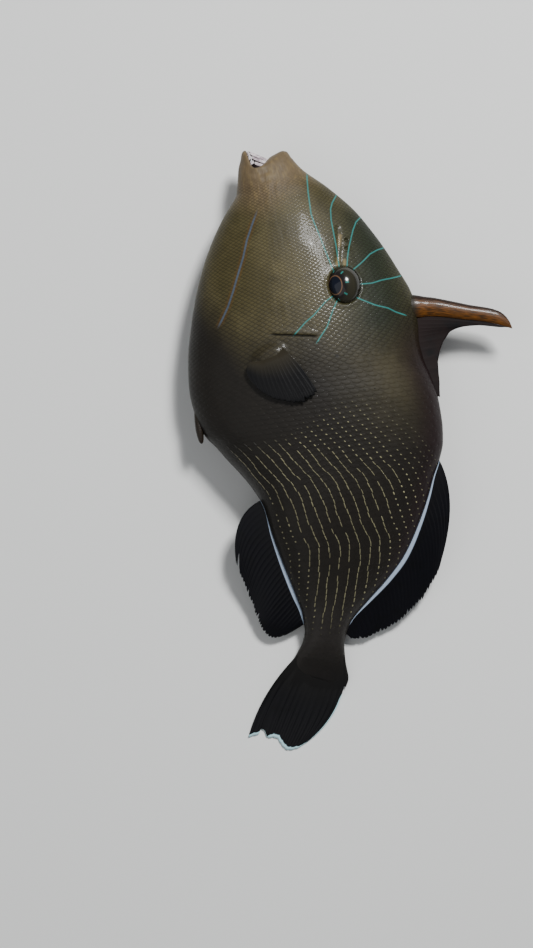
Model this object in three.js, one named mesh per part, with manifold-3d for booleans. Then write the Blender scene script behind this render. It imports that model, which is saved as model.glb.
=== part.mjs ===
// A black durgon, a deep-bodied triggerfish, life size, lying on its right side as it would
// rest on a table: the left flank is up, the first dorsal spine is erect, and the tail droops
// until its fin touches the table.
//
// Units are millimetres. The fish is drawn in its own frame first: s runs from the snout to
// the tail, h runs from the belly to the back, and z runs out of the left flank. The part's
// frame has +Y towards the snout, +X towards the back and +Z up, with the origin under the
// middle of the bounding box, on the table.

import * as THREE from "three";
import { mergeVertices } from "three/addons/utils/BufferGeometryUtils.js";
import Module from "manifold-3d";

const wasm = await Module();
wasm.setup();

// Driving sizes
const TOTAL_LENGTH = 205.5; // from the front of the lower lip to the tip of the tail fin
const SPINE_TIP_HEIGHT = 76.6;
const BELLY_DEPTH = 35;
const FLANK_REST = 15.5; // from the midline down to the flat that the flank rests on
const GAP = 0.3; // between two solids that touch
const MIDDLE_H = (SPINE_TIP_HEIGHT - BELLY_DEPTH) / 2;
const MIDDLE_S = TOTAL_LENGTH / 2;

// The tail's droop to the table
const DROOP_START = 115;
const DROOP_END = 200;
const TAIL_TIP_REST = 0.55; // from the table to the middle of the tail fin's thickness

// Body profile along s: heights of the back and the belly, half width, height of the widest
// place, roundness of the upper and lower halves, and the lean of a section along h.
const BACK = curve([
  [0, 5.2], [0.4, 7.2], [1.4, 8.7], [3, 9.4], [5.2, 10.2], [9.3, 13.3], [17.3, 21.8],
  [25.1, 28.7], [32.6, 33.5], [39.9, 37.5], [47.3, 40.9], [54.5, 44.0], [60, 45.2], [66, 45.2],
  [72, 44.8], [78, 45.4], [84.8, 47.2], [92, 48.6], [100, 48.9], [107, 48.3], [113.2, 46.2],
  [118.5, 43.6], [124.4, 41.2], [134.1, 36.4], [144, 30.3], [151.3, 23.5], [158.1, 15.7],
  [163, 10.4], [167, 7.4], [171, 6.0], [175, 5.8], [179, 6.1], [182, 4.8],
]);
const BELLY = curve([
  [0, -3.4], [0.4, -5.0], [1.4, -6.3], [3, -7.3], [4.7, -8.0], [8, -9.1], [12, -9.6],
  [14.5, -10.1], [17, -11.8], [20.9, -15.0], [27.9, -19.7], [36.8, -24.4], [46.6, -28.4],
  [56.5, -31.4], [68, -34.0], [79, -35.0], [88, -34.0], [92, -32.8], [95.5, -31.2],
  [98.5, -28.8], [104, -25.1], [110, -20.8], [116, -17.3], [121.4, -15.1], [130.9, -13.6],
  [141.5, -11.2], [152.2, -8.5], [160, -6.9], [165, -6.8], [169.6, -8.2], [173, -10.1],
  [176, -11.7], [179, -13.2], [182, -14.2],
]);
const HALF_WIDTH = curve([
  [0, 1.6], [0.4, 3.0], [1.4, 4.1], [3, 4.7], [5.2, 5.1], [8, 5.6], [12, 6.6], [17, 8.0],
  [25, 10.2], [35, 12.2], [45, 13.5], [55, 14.8], [65, 15.8], [75, 16.3], [85, 16.3],
  [95, 15.8], [105, 14.7], [115, 13.1], [125, 11.3], [135, 9.5], [145, 7.8], [155, 6.3],
  [163, 5.2], [169, 4.4], [174, 3.3], [178, 2.2], [182, 1.3],
]);
const WIDEST_H = curve([
  [0, 0.5], [5, 0], [20, 2], [60, 2], [80, 3], [100, 6], [120, 9], [140, 8], [155, 4.5],
  [165, 0.5], [175, -2.5], [182, -5.5],
]);
const UPPER_POWER = curve([[0, 1], [10, 1.05], [30, 1.35], [55, 1.4], [80, 1.2], [120, 1.15], [165, 1]]);
const LOWER_POWER = curve([[0, 1], [15, 1.05], [40, 1.15], [70, 1.25], [90, 1.35], [110, 1.25], [165, 1]]);
const LEAN = curve([[0, 0.136], [15, 0], [164, 0], [170, 0.12], [182, 0.46]]);
const LEAN_PIVOT_H = -5;
const BODY_END = 182;
const BODY_STATIONS = [0, 0.4, 1.4, 3, 5, 7.5, 10.5, 14, 18];
const STATION_STEP = 5;
const BODY_SIDES = 40;
const BEYOND = 300; // past the whole fish, for cutting shapes

// Where the body is divided: head and trunk at the gill slit, trunk and tail stalk behind the fins
const GILL_CUT = { s: 64.4, lean: 0.227 };
const STALK_CUT = { s: 164, lean: 0 };

// Cubic curve through the points that never overshoots them, held level beyond both ends.
function curve(points) {
  const xs = points.map((p) => p[0]);
  const ys = points.map((p) => p[1]);
  const slopes = xs.slice(1).map((x, i) => (ys[i + 1] - ys[i]) / (x - xs[i]));
  const tangents = xs.map((_, i) => {
    if (i === 0) return slopes[0];
    if (i === xs.length - 1) return slopes[i - 1];
    const product = slopes[i - 1] * slopes[i];
    return product <= 0 ? 0 : (2 * product) / (slopes[i - 1] + slopes[i]);
  });
  return (x) => {
    if (x <= xs[0]) return ys[0];
    if (x >= xs.at(-1)) return ys.at(-1);
    const i = xs.findIndex((knot) => knot > x) - 1;
    const width = xs[i + 1] - xs[i];
    const t = (x - xs[i]) / width;
    const a = ys[i] * (1 + 2 * t) * (1 - t) ** 2 + ys[i + 1] * t * t * (3 - 2 * t);
    return a + width * (tangents[i] * t * (1 - t) ** 2 - tangents[i + 1] * t * t * (1 - t));
  };
}

function mix(a, b, t) {
  return a + (b - a) * t;
}

// How far the fish's middle plane sinks towards the table at s.
function droop(s) {
  const t = THREE.MathUtils.clamp((s - DROOP_START) / (DROOP_END - DROOP_START), 0, 1);
  return -(FLANK_REST - TAIL_TIP_REST) * t * t * (3 - 2 * t);
}

// A point of the fish's own frame in the part's frame.
function place([s, h, z]) {
  return [h - MIDDLE_H, MIDDLE_S - s, z + droop(s) + FLANK_REST];
}

// A point of the body's surface: station s, angle round it from the back, grown outwards.
function bodyPoint(s, angle, grow) {
  const rise = Math.cos(angle);
  const upper = rise >= 0;
  const middle = WIDEST_H(s);
  const reach = (upper ? BACK(s) - middle : middle - BELLY(s)) + grow;
  const power = (upper ? UPPER_POWER : LOWER_POWER)(s);
  const h = middle + reach * rise;
  const side = Math.sin(angle);
  const z = Math.sign(side) * (HALF_WIDTH(s) + grow) * Math.abs(side) ** power;
  return [s + LEAN(s) * (h - LEAN_PIVOT_H), h, z];
}

// Height of the left flank's surface over the middle plane at (s, h), where sections don't lean.
function flank(s, h) {
  const middle = WIDEST_H(s);
  const upper = h >= middle;
  const share = (h - middle) / (upper ? BACK(s) - middle : middle - BELLY(s));
  const power = (upper ? UPPER_POWER : LOWER_POWER)(s);
  return HALF_WIDTH(s) * Math.max(0, 1 - share * share) ** (power / 2);
}

// Closed geometry through rings of points of the fish's frame, with a fan at each end.
function loft(rings) {
  const sides = rings[0].length;
  const points = rings.flat().map(place);
  const faces = [];
  for (let i = 0; i + 1 < rings.length; i++) {
    for (let j = 0; j < sides; j++) {
      const a = i * sides + j;
      const b = i * sides + ((j + 1) % sides);
      faces.push([a, b, a + sides], [b, b + sides, a + sides]);
    }
  }
  for (const [first, turned] of [[0, true], [(rings.length - 1) * sides, false]]) {
    const ring = points.slice(first, first + sides);
    const centre = [0, 1, 2].map((k) => ring.reduce((sum, p) => sum + p[k], 0) / sides);
    points.push(centre);
    for (let j = 0; j < sides; j++) {
      const a = first + j;
      const b = first + ((j + 1) % sides);
      faces.push(turned ? [b, a, points.length - 1] : [a, b, points.length - 1]);
    }
  }
  return solidFrom(points, faces);
}

// A solid from points in the part's frame; its faces are turned outwards if they point in.
function solidFrom(points, faces) {
  const geometry = new THREE.BufferGeometry();
  geometry.setAttribute("position", new THREE.Float32BufferAttribute(points.flat(), 3));
  geometry.setIndex(faces.flat());
  return solidOf(geometry);
}

function solidOf(geometry) {
  const plain = geometry.clone();
  plain.deleteAttribute("normal");
  plain.deleteAttribute("uv");
  const merged = mergeVertices(plain, 1e-4);
  const vertProperties = new Float32Array(merged.attributes.position.array);
  const triVerts = new Uint32Array(merged.index.array);
  const made = new wasm.Manifold(new wasm.Mesh({ numProp: 3, vertProperties, triVerts }));
  if (made.volume() > 0) return made;
  for (let i = 0; i < triVerts.length; i += 3) {
    [triVerts[i + 1], triVerts[i + 2]] = [triVerts[i + 2], triVerts[i + 1]];
  }
  return new wasm.Manifold(new wasm.Mesh({ numProp: 3, vertProperties, triVerts }));
}

// The largest closed piece of a solid.
function largest(solid) {
  return solid.decompose().sort((a, b) => b.volume() - a.volume())[0];
}

// Ellipsoid at a point of the fish's frame, with half sizes along its own axes, turned in the
// plane of the fish by an angle from s towards h.
function ellipsoid([s, h, z], [along, across, out], turn = 0, columns = 10, rows = 6) {
  const geometry = new THREE.SphereGeometry(1, columns, rows);
  geometry.scale(across, along, out);
  geometry.rotateZ(turn);
  geometry.translate(...place([s, h, z]));
  return solidOf(geometry);
}

// Prism over an outline of (s, h) points, between two heights of the part's frame.
function prism(outline, low, high) {
  const shape = new THREE.Shape(
    outline.map(([s, h]) => new THREE.Vector2(h - MIDDLE_H, MIDDLE_S - s)),
  );
  const geometry = new THREE.ExtrudeGeometry(shape, { depth: high - low, bevelEnabled: false });
  geometry.translate(0, 0, low);
  return solidOf(geometry);
}

// Body

function bodySolid(grow) {
  const stations = [...BODY_STATIONS];
  const steps = Math.round((BODY_END - stations.at(-1)) / STATION_STEP);
  const step = (BODY_END - stations.at(-1)) / steps;
  for (let i = 0; i < steps; i++) stations.push(stations.at(-1) + step);
  const rings = stations.map((s, i) => {
    const past = i === stations.length - 1 ? grow : i === 0 ? -grow : 0;
    return Array.from({ length: BODY_SIDES }, (_, j) => {
      const point = bodyPoint(s, (2 * Math.PI * j) / BODY_SIDES, grow);
      return [point[0] + past, point[1], point[2]];
    });
  });
  return loft(rings);
}

// Everything on one side of a leaning cut across the fish: ahead of it or behind it.
function halfSpace({ s, lean }, ahead) {
  const offset = ahead ? -GAP / 2 : GAP / 2;
  const edge = [-BEYOND, BEYOND].map((h) => [s + lean * h + offset, h]);
  const far = [-BEYOND, BEYOND].map((h) => [ahead ? -BEYOND : 2 * BEYOND, h]);
  return prism([edge[0], edge[1], far[1], far[0]], -BEYOND, BEYOND);
}

// The muscle at the root of each pectoral fin
const FIN_MUSCLE = { s: 70.8, h: -6.6, along: 3.6, across: 6.4, out: 1.9, sunk: 0.6, lean: 0.3 };

function finMuscle(side, grow) {
  const { s, h, along, across, out, sunk, lean } = FIN_MUSCLE;
  const sizes = [along + grow, across + grow, out + grow];
  return ellipsoid([s, h, side * (flank(s, h) - sunk)], sizes, lean, 14, 8);
}

function fleshSolid(grow) {
  return wasm.Manifold.union([bodySolid(grow), finMuscle(1, grow), finMuscle(-1, grow)]);
}

const table = prism(
  [[-BEYOND, -BEYOND], [BEYOND, -BEYOND], [BEYOND, BEYOND], [-BEYOND, BEYOND]],
  -BEYOND,
  0,
);
const body = fleshSolid(0).subtract(table);
const bodyClear = fleshSolid(GAP);

// Eyes: a ball that stands out of the head by a little over a quarter of its depth
const EYE = { s: 50.9, h: 21.3, along: 6.1, across: 5.2, out: 5.0, proud: 3.0 };

function eye(side, grow) {
  const z = side * (flank(EYE.s, EYE.h) + EYE.proud - EYE.out);
  const sizes = [EYE.along + grow, EYE.across + grow, EYE.out + grow];
  return ellipsoid([EYE.s, EYE.h, z], sizes, 0, 20, 12);
}

// Mouth: a gape from the front of the snout back to its corner, with a fat upper lip and a
// thinner lower lip rolled round its edges, and a tongue that fills it behind the teeth.
const GAPE = [
  [-4, 8.4], [1.3, 8], [2.2, 5.6], [3.7, 2], [4.6, 0.4], [5.2, -2.3], [4, -3.9], [2, -4.8],
  [0.2, -5], [-4, -5],
];
const GAPE_SWEEP = { rise: 2.2, half: 5, levels: [-7, -5, -3.4, -1.7, 0, 1.7, 3.4, 5, 7] };
const LIPS = {
  corner: [7.1, -2.4],
  cornerRadius: 0.65,
  proud: 0.35, // past the snout's sides
  upper: { front: [4.4, 4.3], radius: 2.1 },
  lower: { front: [1.4, -6.1], radius: 1.3 },
};
const TONGUE = { s: 9, h: -1.4, along: 5.4, across: 4.4, out: 1.5 };

// The gape's outline, swept across the snout and set back towards the sides.
function gapeCut() {
  const { rise, half, levels } = GAPE_SWEEP;
  return loft(levels.map((z) => GAPE.map(([s, h]) => [s + rise * (z / half) ** 2, h, z])));
}

const LIP_STEPS = 14;
const LIP_SIDES = 8;

// A lip runs from the mouth's corner on one side round the front to the other corner, half
// sunk in the snout.
function lip({ front, radius }) {
  const steps = Array.from({ length: LIP_STEPS + 1 }, (_, i) => (2 * i) / LIP_STEPS - 1);
  const rings = steps.map((t) => {
    const turn = (t * Math.PI) / 2;
    const back = Math.sin(turn) ** 2;
    const s = mix(front[0], LIPS.corner[0], back);
    const h = mix(front[1], LIPS.corner[1], back ** 1.5);
    const r = mix(radius, LIPS.cornerRadius, back);
    const z = Math.sin(turn) * (HALF_WIDTH(s) + LIPS.proud - r);
    const outward = [-Math.cos(turn), Math.sin(turn)];
    return Array.from({ length: LIP_SIDES }, (_, j) => {
      const angle = (2 * Math.PI * j) / LIP_SIDES;
      const out = r * Math.cos(angle);
      return [s + out * outward[0], h + r * Math.sin(angle), z + out * outward[1]];
    });
  });
  return loft(rings);
}

// Teeth: each jaw carries a curved row of chisels on a low gum, and leans forwards as it
// leaves the jaw. A tooth is a tapered block between its root on the gum and its cutting edge.
const TEETH = {
  upper: {
    count: 8, front: 5, half: 3.5, lean: 4.4, gum: 1.6,
    root: { middle: 2.6, climb: -1.5 },
    edge: { middle: -3.85, climb: 1.6 },
  },
  lower: {
    count: 8, front: 2.4, half: 2.6, lean: 1.8, gum: -4.9,
    root: { middle: -5.4, climb: 1.2 },
    edge: { middle: -4.2, climb: 1.6 },
  },
};
const ARCH_DEPTH = 3.2;
const ARCH_SPREAD = THREE.MathUtils.degToRad(66);
const TOOTH = { width: 1.5, edgeWidth: 1.25, thick: 1.3, edgeThick: 0.8, waist: 0.55 };
const GUM = { steps: 10, spread: 1.05, half: 0.65, sunk: 0.4 };

// A place on a row's arch, leaning forwards from the root by lean.
function archPoint(row, angle, lean) {
  const s = row.front + ARCH_DEPTH * (1 - Math.cos(angle)) - lean;
  return [s, row.half * Math.sin(angle)];
}

// A height that changes from the middle of the row towards its ends.
function climbing({ middle, climb }, angle) {
  return middle + climb * (1 - Math.cos(angle));
}

function toothRow(row, grow) {
  const upwards = Math.sign(row.edge.middle - row.root.middle);
  const solids = Array.from({ length: row.count }, (_, i) => {
    const angle = mix(-ARCH_SPREAD, ARCH_SPREAD, (i + 0.5) / row.count);
    const root = climbing(row.root, angle) - upwards * grow;
    const edge = climbing(row.edge, angle) + upwards * grow;
    const along = [Math.sin(angle), Math.cos(angle)];
    const out = [-Math.cos(angle), Math.sin(angle)];
    return loft([0, TOOTH.waist, 1].map((t) => {
      const [s, z] = archPoint(row, angle, row.lean * t);
      const half = (t === 1 ? TOOTH.edgeWidth : TOOTH.width) / 2 + grow;
      const deep = mix(TOOTH.thick, TOOTH.edgeThick, t) / 2 + grow;
      return [[1, 1], [1, -1], [-1, -1], [-1, 1]].map(([a, b]) => [
        s + a * half * along[0] + b * deep * out[0],
        mix(root, edge, t),
        z + a * half * along[1] + b * deep * out[1],
      ]);
    }));
  });
  solids.push(gumRidge(row, upwards, grow));
  return largest(wasm.Manifold.union(solids));
}

// The low ridge of gum that joins a row's roots.
function gumRidge(row, upwards, grow) {
  const deep = GUM.half + grow;
  return loft(Array.from({ length: GUM.steps + 1 }, (_, i) => {
    const angle = GUM.spread * mix(-ARCH_SPREAD, ARCH_SPREAD, i / GUM.steps);
    const [s, z] = archPoint(row, angle, 0);
    const out = [-Math.cos(angle), Math.sin(angle)];
    const root = climbing(row.root, angle);
    const levels = [root - upwards * (GUM.sunk + grow), root + row.gum - row.root.middle + upwards * grow];
    return [[1, 0], [1, 1], [-1, 1], [-1, 0]].map(([b, level]) => [
      s + b * deep * out[0],
      levels[level],
      z + b * deep * out[1],
    ]);
  }));
}

// Small openings and grooves of the head, on both flanks
const GILL_SLIT = { s: 65.3, h: 2.4, along: 0.75, across: 7.9, deep: 2.4 };
const NOSTRILS = [[35.6, 24.2], [38.6, 23.9]];
const EYE_GROOVE = { s: 37.2, h: 21.4, along: 5.6, across: 0.75, deep: 1.0 };
const NOSTRIL_RADIUS = 0.6;

function headCuts(side) {
  const slitTurn = -Math.atan(GILL_CUT.lean);
  const slitZ = side * flank(GILL_SLIT.s, GILL_SLIT.h);
  const slit = [GILL_SLIT.along, GILL_SLIT.across, GILL_SLIT.deep];
  const groove = [EYE_GROOVE.along, EYE_GROOVE.across, EYE_GROOVE.deep];
  return [
    ellipsoid([GILL_SLIT.s, GILL_SLIT.h, slitZ], slit, slitTurn, 8, 12),
    ellipsoid([EYE_GROOVE.s, EYE_GROOVE.h, side * flank(EYE_GROOVE.s, EYE_GROOVE.h)], groove, 0.17),
    ...NOSTRILS.map(([s, h]) =>
      ellipsoid([s, h, side * flank(s, h)], [0.8, NOSTRIL_RADIUS, 0.8], 0, 8, 6),
    ),
  ];
}

// A fin is one thin sheet. Columns run across it from its first ray to its last, two to each
// ray: one on the ray, where both faces stand out as a ridge, and one on the membrane between.
// Both faces are split into triangles alike.
function finSheet({ rays, rows, point, membrane, ridge }) {
  const columns = 2 * rays - 1;
  const points = [];
  for (const side of [1, -1]) {
    for (let c = 0; c < columns; c++) {
      const t = c / (columns - 1);
      for (let r = 0; r <= rows; r++) {
        const [s, h, z] = point(t, r / rows, c % 2 === 1);
        const half = membrane(r / rows, t) / 2 + (c % 2 === 0 ? ridge(r / rows) : 0);
        points.push(place([s, h, z + side * half]));
      }
    }
  }
  const face = columns * (rows + 1);
  const faces = [];
  const quad = (a, b, c, d) => faces.push([a, b, c], [a, c, d]);
  for (let c = 0; c + 1 < columns; c++) {
    for (let r = 0; r < rows; r++) {
      const a = c * (rows + 1) + r;
      const b = a + rows + 1;
      quad(a, a + 1, b + 1, b);
      quad(face + a, face + b, face + b + 1, face + a + 1);
    }
  }
  for (let c = 0; c + 1 < columns; c++) {
    const root = c * (rows + 1);
    const next = root + rows + 1;
    quad(root, next, face + next, face + root);
    quad(face + root + rows, face + next + rows, next + rows, root + rows);
  }
  for (let r = 0; r < rows; r++) {
    const last = (columns - 1) * (rows + 1) + r;
    quad(r, face + r, face + r + 1, r + 1);
    quad(last + 1, face + last + 1, face + last, last);
  }
  return solidFrom(points, faces);
}

// A fin in the middle plane from its root line and tip line, with rays that bow outwards and a
// sheet that sags towards the table.
function medianFin({ root, tip, bow, sag, rays, rows, membrane, ridge, scallop }) {
  return finSheet({
    rays,
    rows,
    membrane,
    ridge,
    point: (t, r, between) => {
      const reach = between ? r * (1 - scallop) : r;
      const a = [root.s(t), root.h(t)];
      const b = [tip.s(t), tip.h(t)];
      const arch = 4 * reach * (1 - reach);
      return [
        mix(a[0], b[0], reach) + bow.s(t) * arch,
        mix(a[1], b[1], reach) + bow.h(t) * arch,
        -sag * reach * reach,
      ];
    },
  });
}

// Splits rows of [t, s, h] into two curves over t.
function line(rows) {
  return {
    s: curve(rows.map(([t, s]) => [t, s])),
    h: curve(rows.map(([t, , h]) => [t, h])),
  };
}

const SOFT_DORSAL = {
  rays: 24,
  rows: 5,
  sag: 1.2,
  scallop: 0.035,
  membrane: (r) => mix(1.5, 0.5, Math.sqrt(r)),
  ridge: (r) => mix(0.32, 0.12, r),
  root: line([
    [0, 113.5, 42.5], [0.1, 119, 39.8], [0.2, 125, 37.4], [0.3, 131, 34.6], [0.4, 136.6, 31.5],
    [0.5, 141.8, 28], [0.6, 146.8, 23.8], [0.7, 151.2, 19.6], [0.8, 155.6, 14.4],
    [0.9, 159.8, 9.2], [1, 164.6, 3.6],
  ]),
  tip: line([
    [0, 146, 43.2], [0.1, 150.8, 41.2], [0.2, 155.2, 38.2], [0.3, 158.8, 35], [0.4, 161.9, 31.6],
    [0.5, 164.4, 28.3], [0.6, 166.6, 24.8], [0.7, 168.2, 21], [0.8, 169.5, 17], [0.9, 170.5, 12.6],
    [1, 170, 8.6],
  ]),
  bow: line([[0, -2, 4.2], [0.5, -1, 1.6], [1, 0, 0.4]]),
};

const ANAL = {
  rays: 22,
  rows: 5,
  sag: 1.6,
  scallop: 0.035,
  membrane: (r) => mix(1.5, 0.5, Math.sqrt(r)),
  ridge: (r) => mix(0.32, 0.12, r),
  root: line([
    [0, 120.4, -12.6], [0.25, 130.5, -10.6], [0.5, 141.2, -8.2], [0.75, 151.8, -5.6],
    [1, 161.2, -3.8],
  ]),
  tip: line([
    [0, 139.1, -27], [0.04, 139.3, -26.6], [0.065, 134.6, -23.8], [0.09, 138.4, -25.6],
    [0.14, 142.4, -26.2], [0.25, 146.8, -25.1], [0.4, 153.4, -23.4], [0.55, 158.8, -22.3],
    [0.68, 162.4, -21.4], [0.78, 165.5, -19.2], [0.86, 166.4, -17], [0.93, 165.8, -13.2],
    [1, 163.8, -8.4],
  ]),
  bow: line([[0, -3.8, -3.6], [0.3, -2.2, -1.5], [0.7, 0, -0.4], [1, 0, 0]]),
};

const CAUDAL = {
  rays: 13,
  rows: 7,
  sag: 0,
  scallop: 0.01,
  membrane: (r) => mix(1.9, 0.5, Math.sqrt(r)),
  ridge: (r) => mix(0.35, 0.14, r),
  root: line([
    [0, 173.2, -9.6], [0.25, 176, -7], [0.5, 177, -3.4], [0.75, 178, 1], [1, 178, 5.9],
  ]),
  tip: line([
    [0, 199.5, -31], [0.1, 198.8, -27.3], [0.15, 197.2, -26.3], [0.2, 200.4, -24.6],
    [0.3, 200.6, -22.6], [0.38, 201.4, -20.9], [0.46, 203.2, -20.1], [0.55, 204.8, -19],
    [0.64, 205.5, -17.3], [0.76, 205.2, -14.4], [0.88, 204.5, -12.9], [1, 203.8, -11.4],
  ]),
  bow: line([[0, -1.2, -2], [0.3, -0.4, -0.4], [0.6, 0.4, 0.6], [0.8, 1.4, 2.2], [1, 2.4, 4.2]]),
};

// The membrane behind the first spine, with the short second and third spines in it
const SPINE_MEMBRANE = {
  rays: 9,
  rows: 5,
  sag: 0,
  scallop: 0,
  membrane: (r, t) => mix(1.6, 0.6, r) + 1.1 * Math.exp(-(((t - 0.36) / 0.06) ** 2)) * (1 - r),
  ridge: () => 0.08,
  root: line([
    [0, 63.4, 42.5], [0.2, 66.6, 42.2], [0.4, 69.6, 41.8], [0.6, 74.4, 42], [0.8, 81.5, 43.6],
    [1, 89.6, 45.8],
  ]),
  tip: line([
    [0, 71.6, 75.6], [0.12, 70.9, 71.5], [0.24, 69.6, 65.9], [0.36, 69.3, 60.8],
    [0.46, 70.1, 56.3], [0.55, 72.2, 53.9], [0.65, 75.2, 51.9], [0.78, 80.2, 50.2],
    [0.9, 86.2, 49.8], [1, 92, 49.2],
  ]),
  bow: line([[0, -1.6, 0], [0.3, 0, 0], [1, 0, 0]]),
};

// First dorsal spine: a stout flattened spike with its front edge bowed back towards the tip
const SPINE_FRONT = curve([
  [40, 56.2], [45.3, 56.9], [50.4, 57.9], [56.9, 60], [63.5, 62.3], [70.1, 64.3], [73.3, 65.9],
  [75.1, 67.8], [76.2, 70], [76.6, 71.4],
]);
const SPINE_REAR = curve([
  [40, 64], [45.4, 64.2], [52.8, 65.2], [60.1, 67], [66.2, 68.4], [72.7, 70.6], [75.5, 71.8],
  [76.6, 72.2],
]);
const SPINE_HALF_THICK = curve([[40, 2.1], [60, 1.6], [72, 1.05], [76.6, 0.5]]);
const SPINE_SIDES = 16;
const SPINE_LEVELS = [41, 44, 47, 50.5, 54, 57.5, 61, 64.5, 68, 70.8, 73, 74.6, 75.8, 76.6];

function firstSpine(grow) {
  const rings = SPINE_LEVELS.map((h, i) => {
    const half = (SPINE_REAR(h) - SPINE_FRONT(h)) / 2 + grow;
    const centre = (SPINE_REAR(h) + SPINE_FRONT(h)) / 2;
    const past = i === SPINE_LEVELS.length - 1 ? grow : 0;
    return Array.from({ length: SPINE_SIDES }, (_, j) => {
      const angle = (2 * Math.PI * j) / SPINE_SIDES;
      const out = (SPINE_HALF_THICK(h) + grow) * Math.sin(angle);
      return [centre + half * Math.cos(angle), h + past, out];
    });
  });
  return loft(rings);
}

// Pelvic spine: a rough stub at the rear end of the belly's flap
const PELVIC = {
  h: curve([[82, -32.7], [90, -33.3], [97, -33.2]]),
  half: curve([[82, 1.1], [92, 1.3], [95.5, 0.9], [97, 0.4]]),
};
const PELVIC_SIDES = 12;
const PELVIC_STATIONS = [83, 86, 89, 91.5, 93.5, 95.2, 96.3, 97];

function pelvicSpine() {
  const rings = PELVIC_STATIONS.map((s) =>
    Array.from({ length: PELVIC_SIDES }, (_, j) => {
      const angle = (2 * Math.PI * j) / PELVIC_SIDES;
      const half = PELVIC.half(s);
      return [s, PELVIC.h(s) + half * Math.cos(angle), half * Math.sin(angle)];
    }),
  );
  return loft(rings);
}

// Pectoral fins: short fans that lie along the flank. The upper one stands a little off it.
// The lower one is pressed flat between the flank and the table, in a hollow of its own shape.
const PECTORAL = {
  rays: 12,
  rows: 4,
  root: line([
    [0, 71.8, -11.4], [0.25, 70.8, -9.4], [0.5, 69.6, -7], [0.75, 68.8, -4.6], [1, 68.2, -2.2],
  ]),
  tip: line([
    [0, 79.8, -12.9], [0.12, 82.6, -10.8], [0.28, 85.2, -7.6], [0.42, 86.2, -4.9],
    [0.56, 87.3, -1.6], [0.7, 87.9, 1.4], [0.82, 87.2, 4], [0.92, 86.2, 6.2], [1, 84.4, 7.5],
  ]),
  bow: line([[0, -1.2, -2.6], [0.3, 0, -0.6], [0.7, 0, 0], [1, -0.4, 0.6]]),
  thick: (r) => mix(1.0, 0.55, r),
  ridge: (r) => mix(0.16, 0.1, r),
  proud: curve([[0, -0.9], [0.2, 0.9], [0.5, 1.3], [1, 1.5]]),
  scallop: 0.03,
};
const PRESSED = { middle: 0.5, thick: 0.62, ridge: 0.1, recess: 1.3, margin: 0.63, steps: 10 };

function pectoralPoint(t, r, between) {
  const reach = between ? r * (1 - PECTORAL.scallop) : r;
  const arch = 4 * reach * (1 - reach);
  return [
    mix(PECTORAL.root.s(t), PECTORAL.tip.s(t), reach) + PECTORAL.bow.s(t) * arch,
    mix(PECTORAL.root.h(t), PECTORAL.tip.h(t), reach) + PECTORAL.bow.h(t) * arch,
  ];
}

function upperPectoral() {
  return finSheet({
    rays: PECTORAL.rays,
    rows: PECTORAL.rows,
    membrane: PECTORAL.thick,
    ridge: PECTORAL.ridge,
    point: (t, r, between) => {
      const [s, h] = pectoralPoint(t, r, between);
      return [s, h, flank(s, h) + PECTORAL.proud(r) + PECTORAL.thick(r) / 2];
    },
  });
}

function lowerPectoral() {
  return finSheet({
    rays: PECTORAL.rays,
    rows: PECTORAL.rows,
    membrane: () => PRESSED.thick,
    ridge: () => PRESSED.ridge,
    point: (t, r, between) => {
      const [s, h] = pectoralPoint(t, r, between);
      return [s, h, PRESSED.middle - FLANK_REST];
    },
  });
}

// The hollow's outline is the fin's own, taken outwards from its middle by the margin.
function pressedHollow() {
  const edge = [];
  const steps = PRESSED.steps;
  for (let i = 0; i <= steps; i++) edge.push(pectoralPoint(0, i / steps));
  for (let i = 1; i <= steps; i++) edge.push(pectoralPoint(i / steps, 1));
  for (let i = steps - 1; i >= 0; i--) edge.push(pectoralPoint(1, i / steps));
  const centre = pectoralPoint(0.5, 0.5);
  const grown = edge.map(([s, h]) => {
    const away = Math.hypot(s - centre[0], h - centre[1]);
    const share = (away + PRESSED.margin) / away;
    return [centre[0] + (s - centre[0]) * share, centre[1] + (h - centre[1]) * share];
  });
  return prism(grown, -BEYOND, PRESSED.recess);
}

// Assembly: each piece is cut clear of what it grows from by the gap.
const upperTeeth = toothRow(TEETH.upper, 0);
const lowerTeeth = toothRow(TEETH.lower, 0);
const tongue = ellipsoid(
  [TONGUE.s, TONGUE.h, 0],
  [TONGUE.along, TONGUE.across, TONGUE.out],
  0,
  16,
  10,
);
const gape = gapeCut().subtract(tongue);
const lips = [lip(LIPS.upper), lip(LIPS.lower)];
const cuts = wasm.Manifold.union([...headCuts(1), ...headCuts(-1)]);
const hollow = pressedHollow();

const headFlesh = wasm.Manifold.union([body.subtract(gape), ...lips])
  .subtract(wasm.Manifold.union([
    cuts,
    table,
    eye(1, GAP),
    eye(-1, GAP),
    toothRow(TEETH.upper, GAP),
    toothRow(TEETH.lower, GAP),
  ]))
  .intersect(halfSpace(GILL_CUT, true));
const trunk = body
  .subtract(wasm.Manifold.union([cuts, hollow]))
  .intersect(halfSpace(GILL_CUT, false))
  .intersect(halfSpace(STALK_CUT, true));
const stalk = body.intersect(halfSpace(STALK_CUT, false));
const spine = firstSpine(0).subtract(bodyClear);

const COLOURS = {
  skin: { color: 0x4a4632, roughness: 0.4 },
  fin: { color: 0x0b0c14, roughness: 0.45 },
  spine: { color: 0x7a5220, roughness: 0.45 },
  eye: { color: 0x1a1a1c, roughness: 0.15 },
  tooth: { color: 0xe6e2dc, roughness: 0.35 },
};

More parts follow.
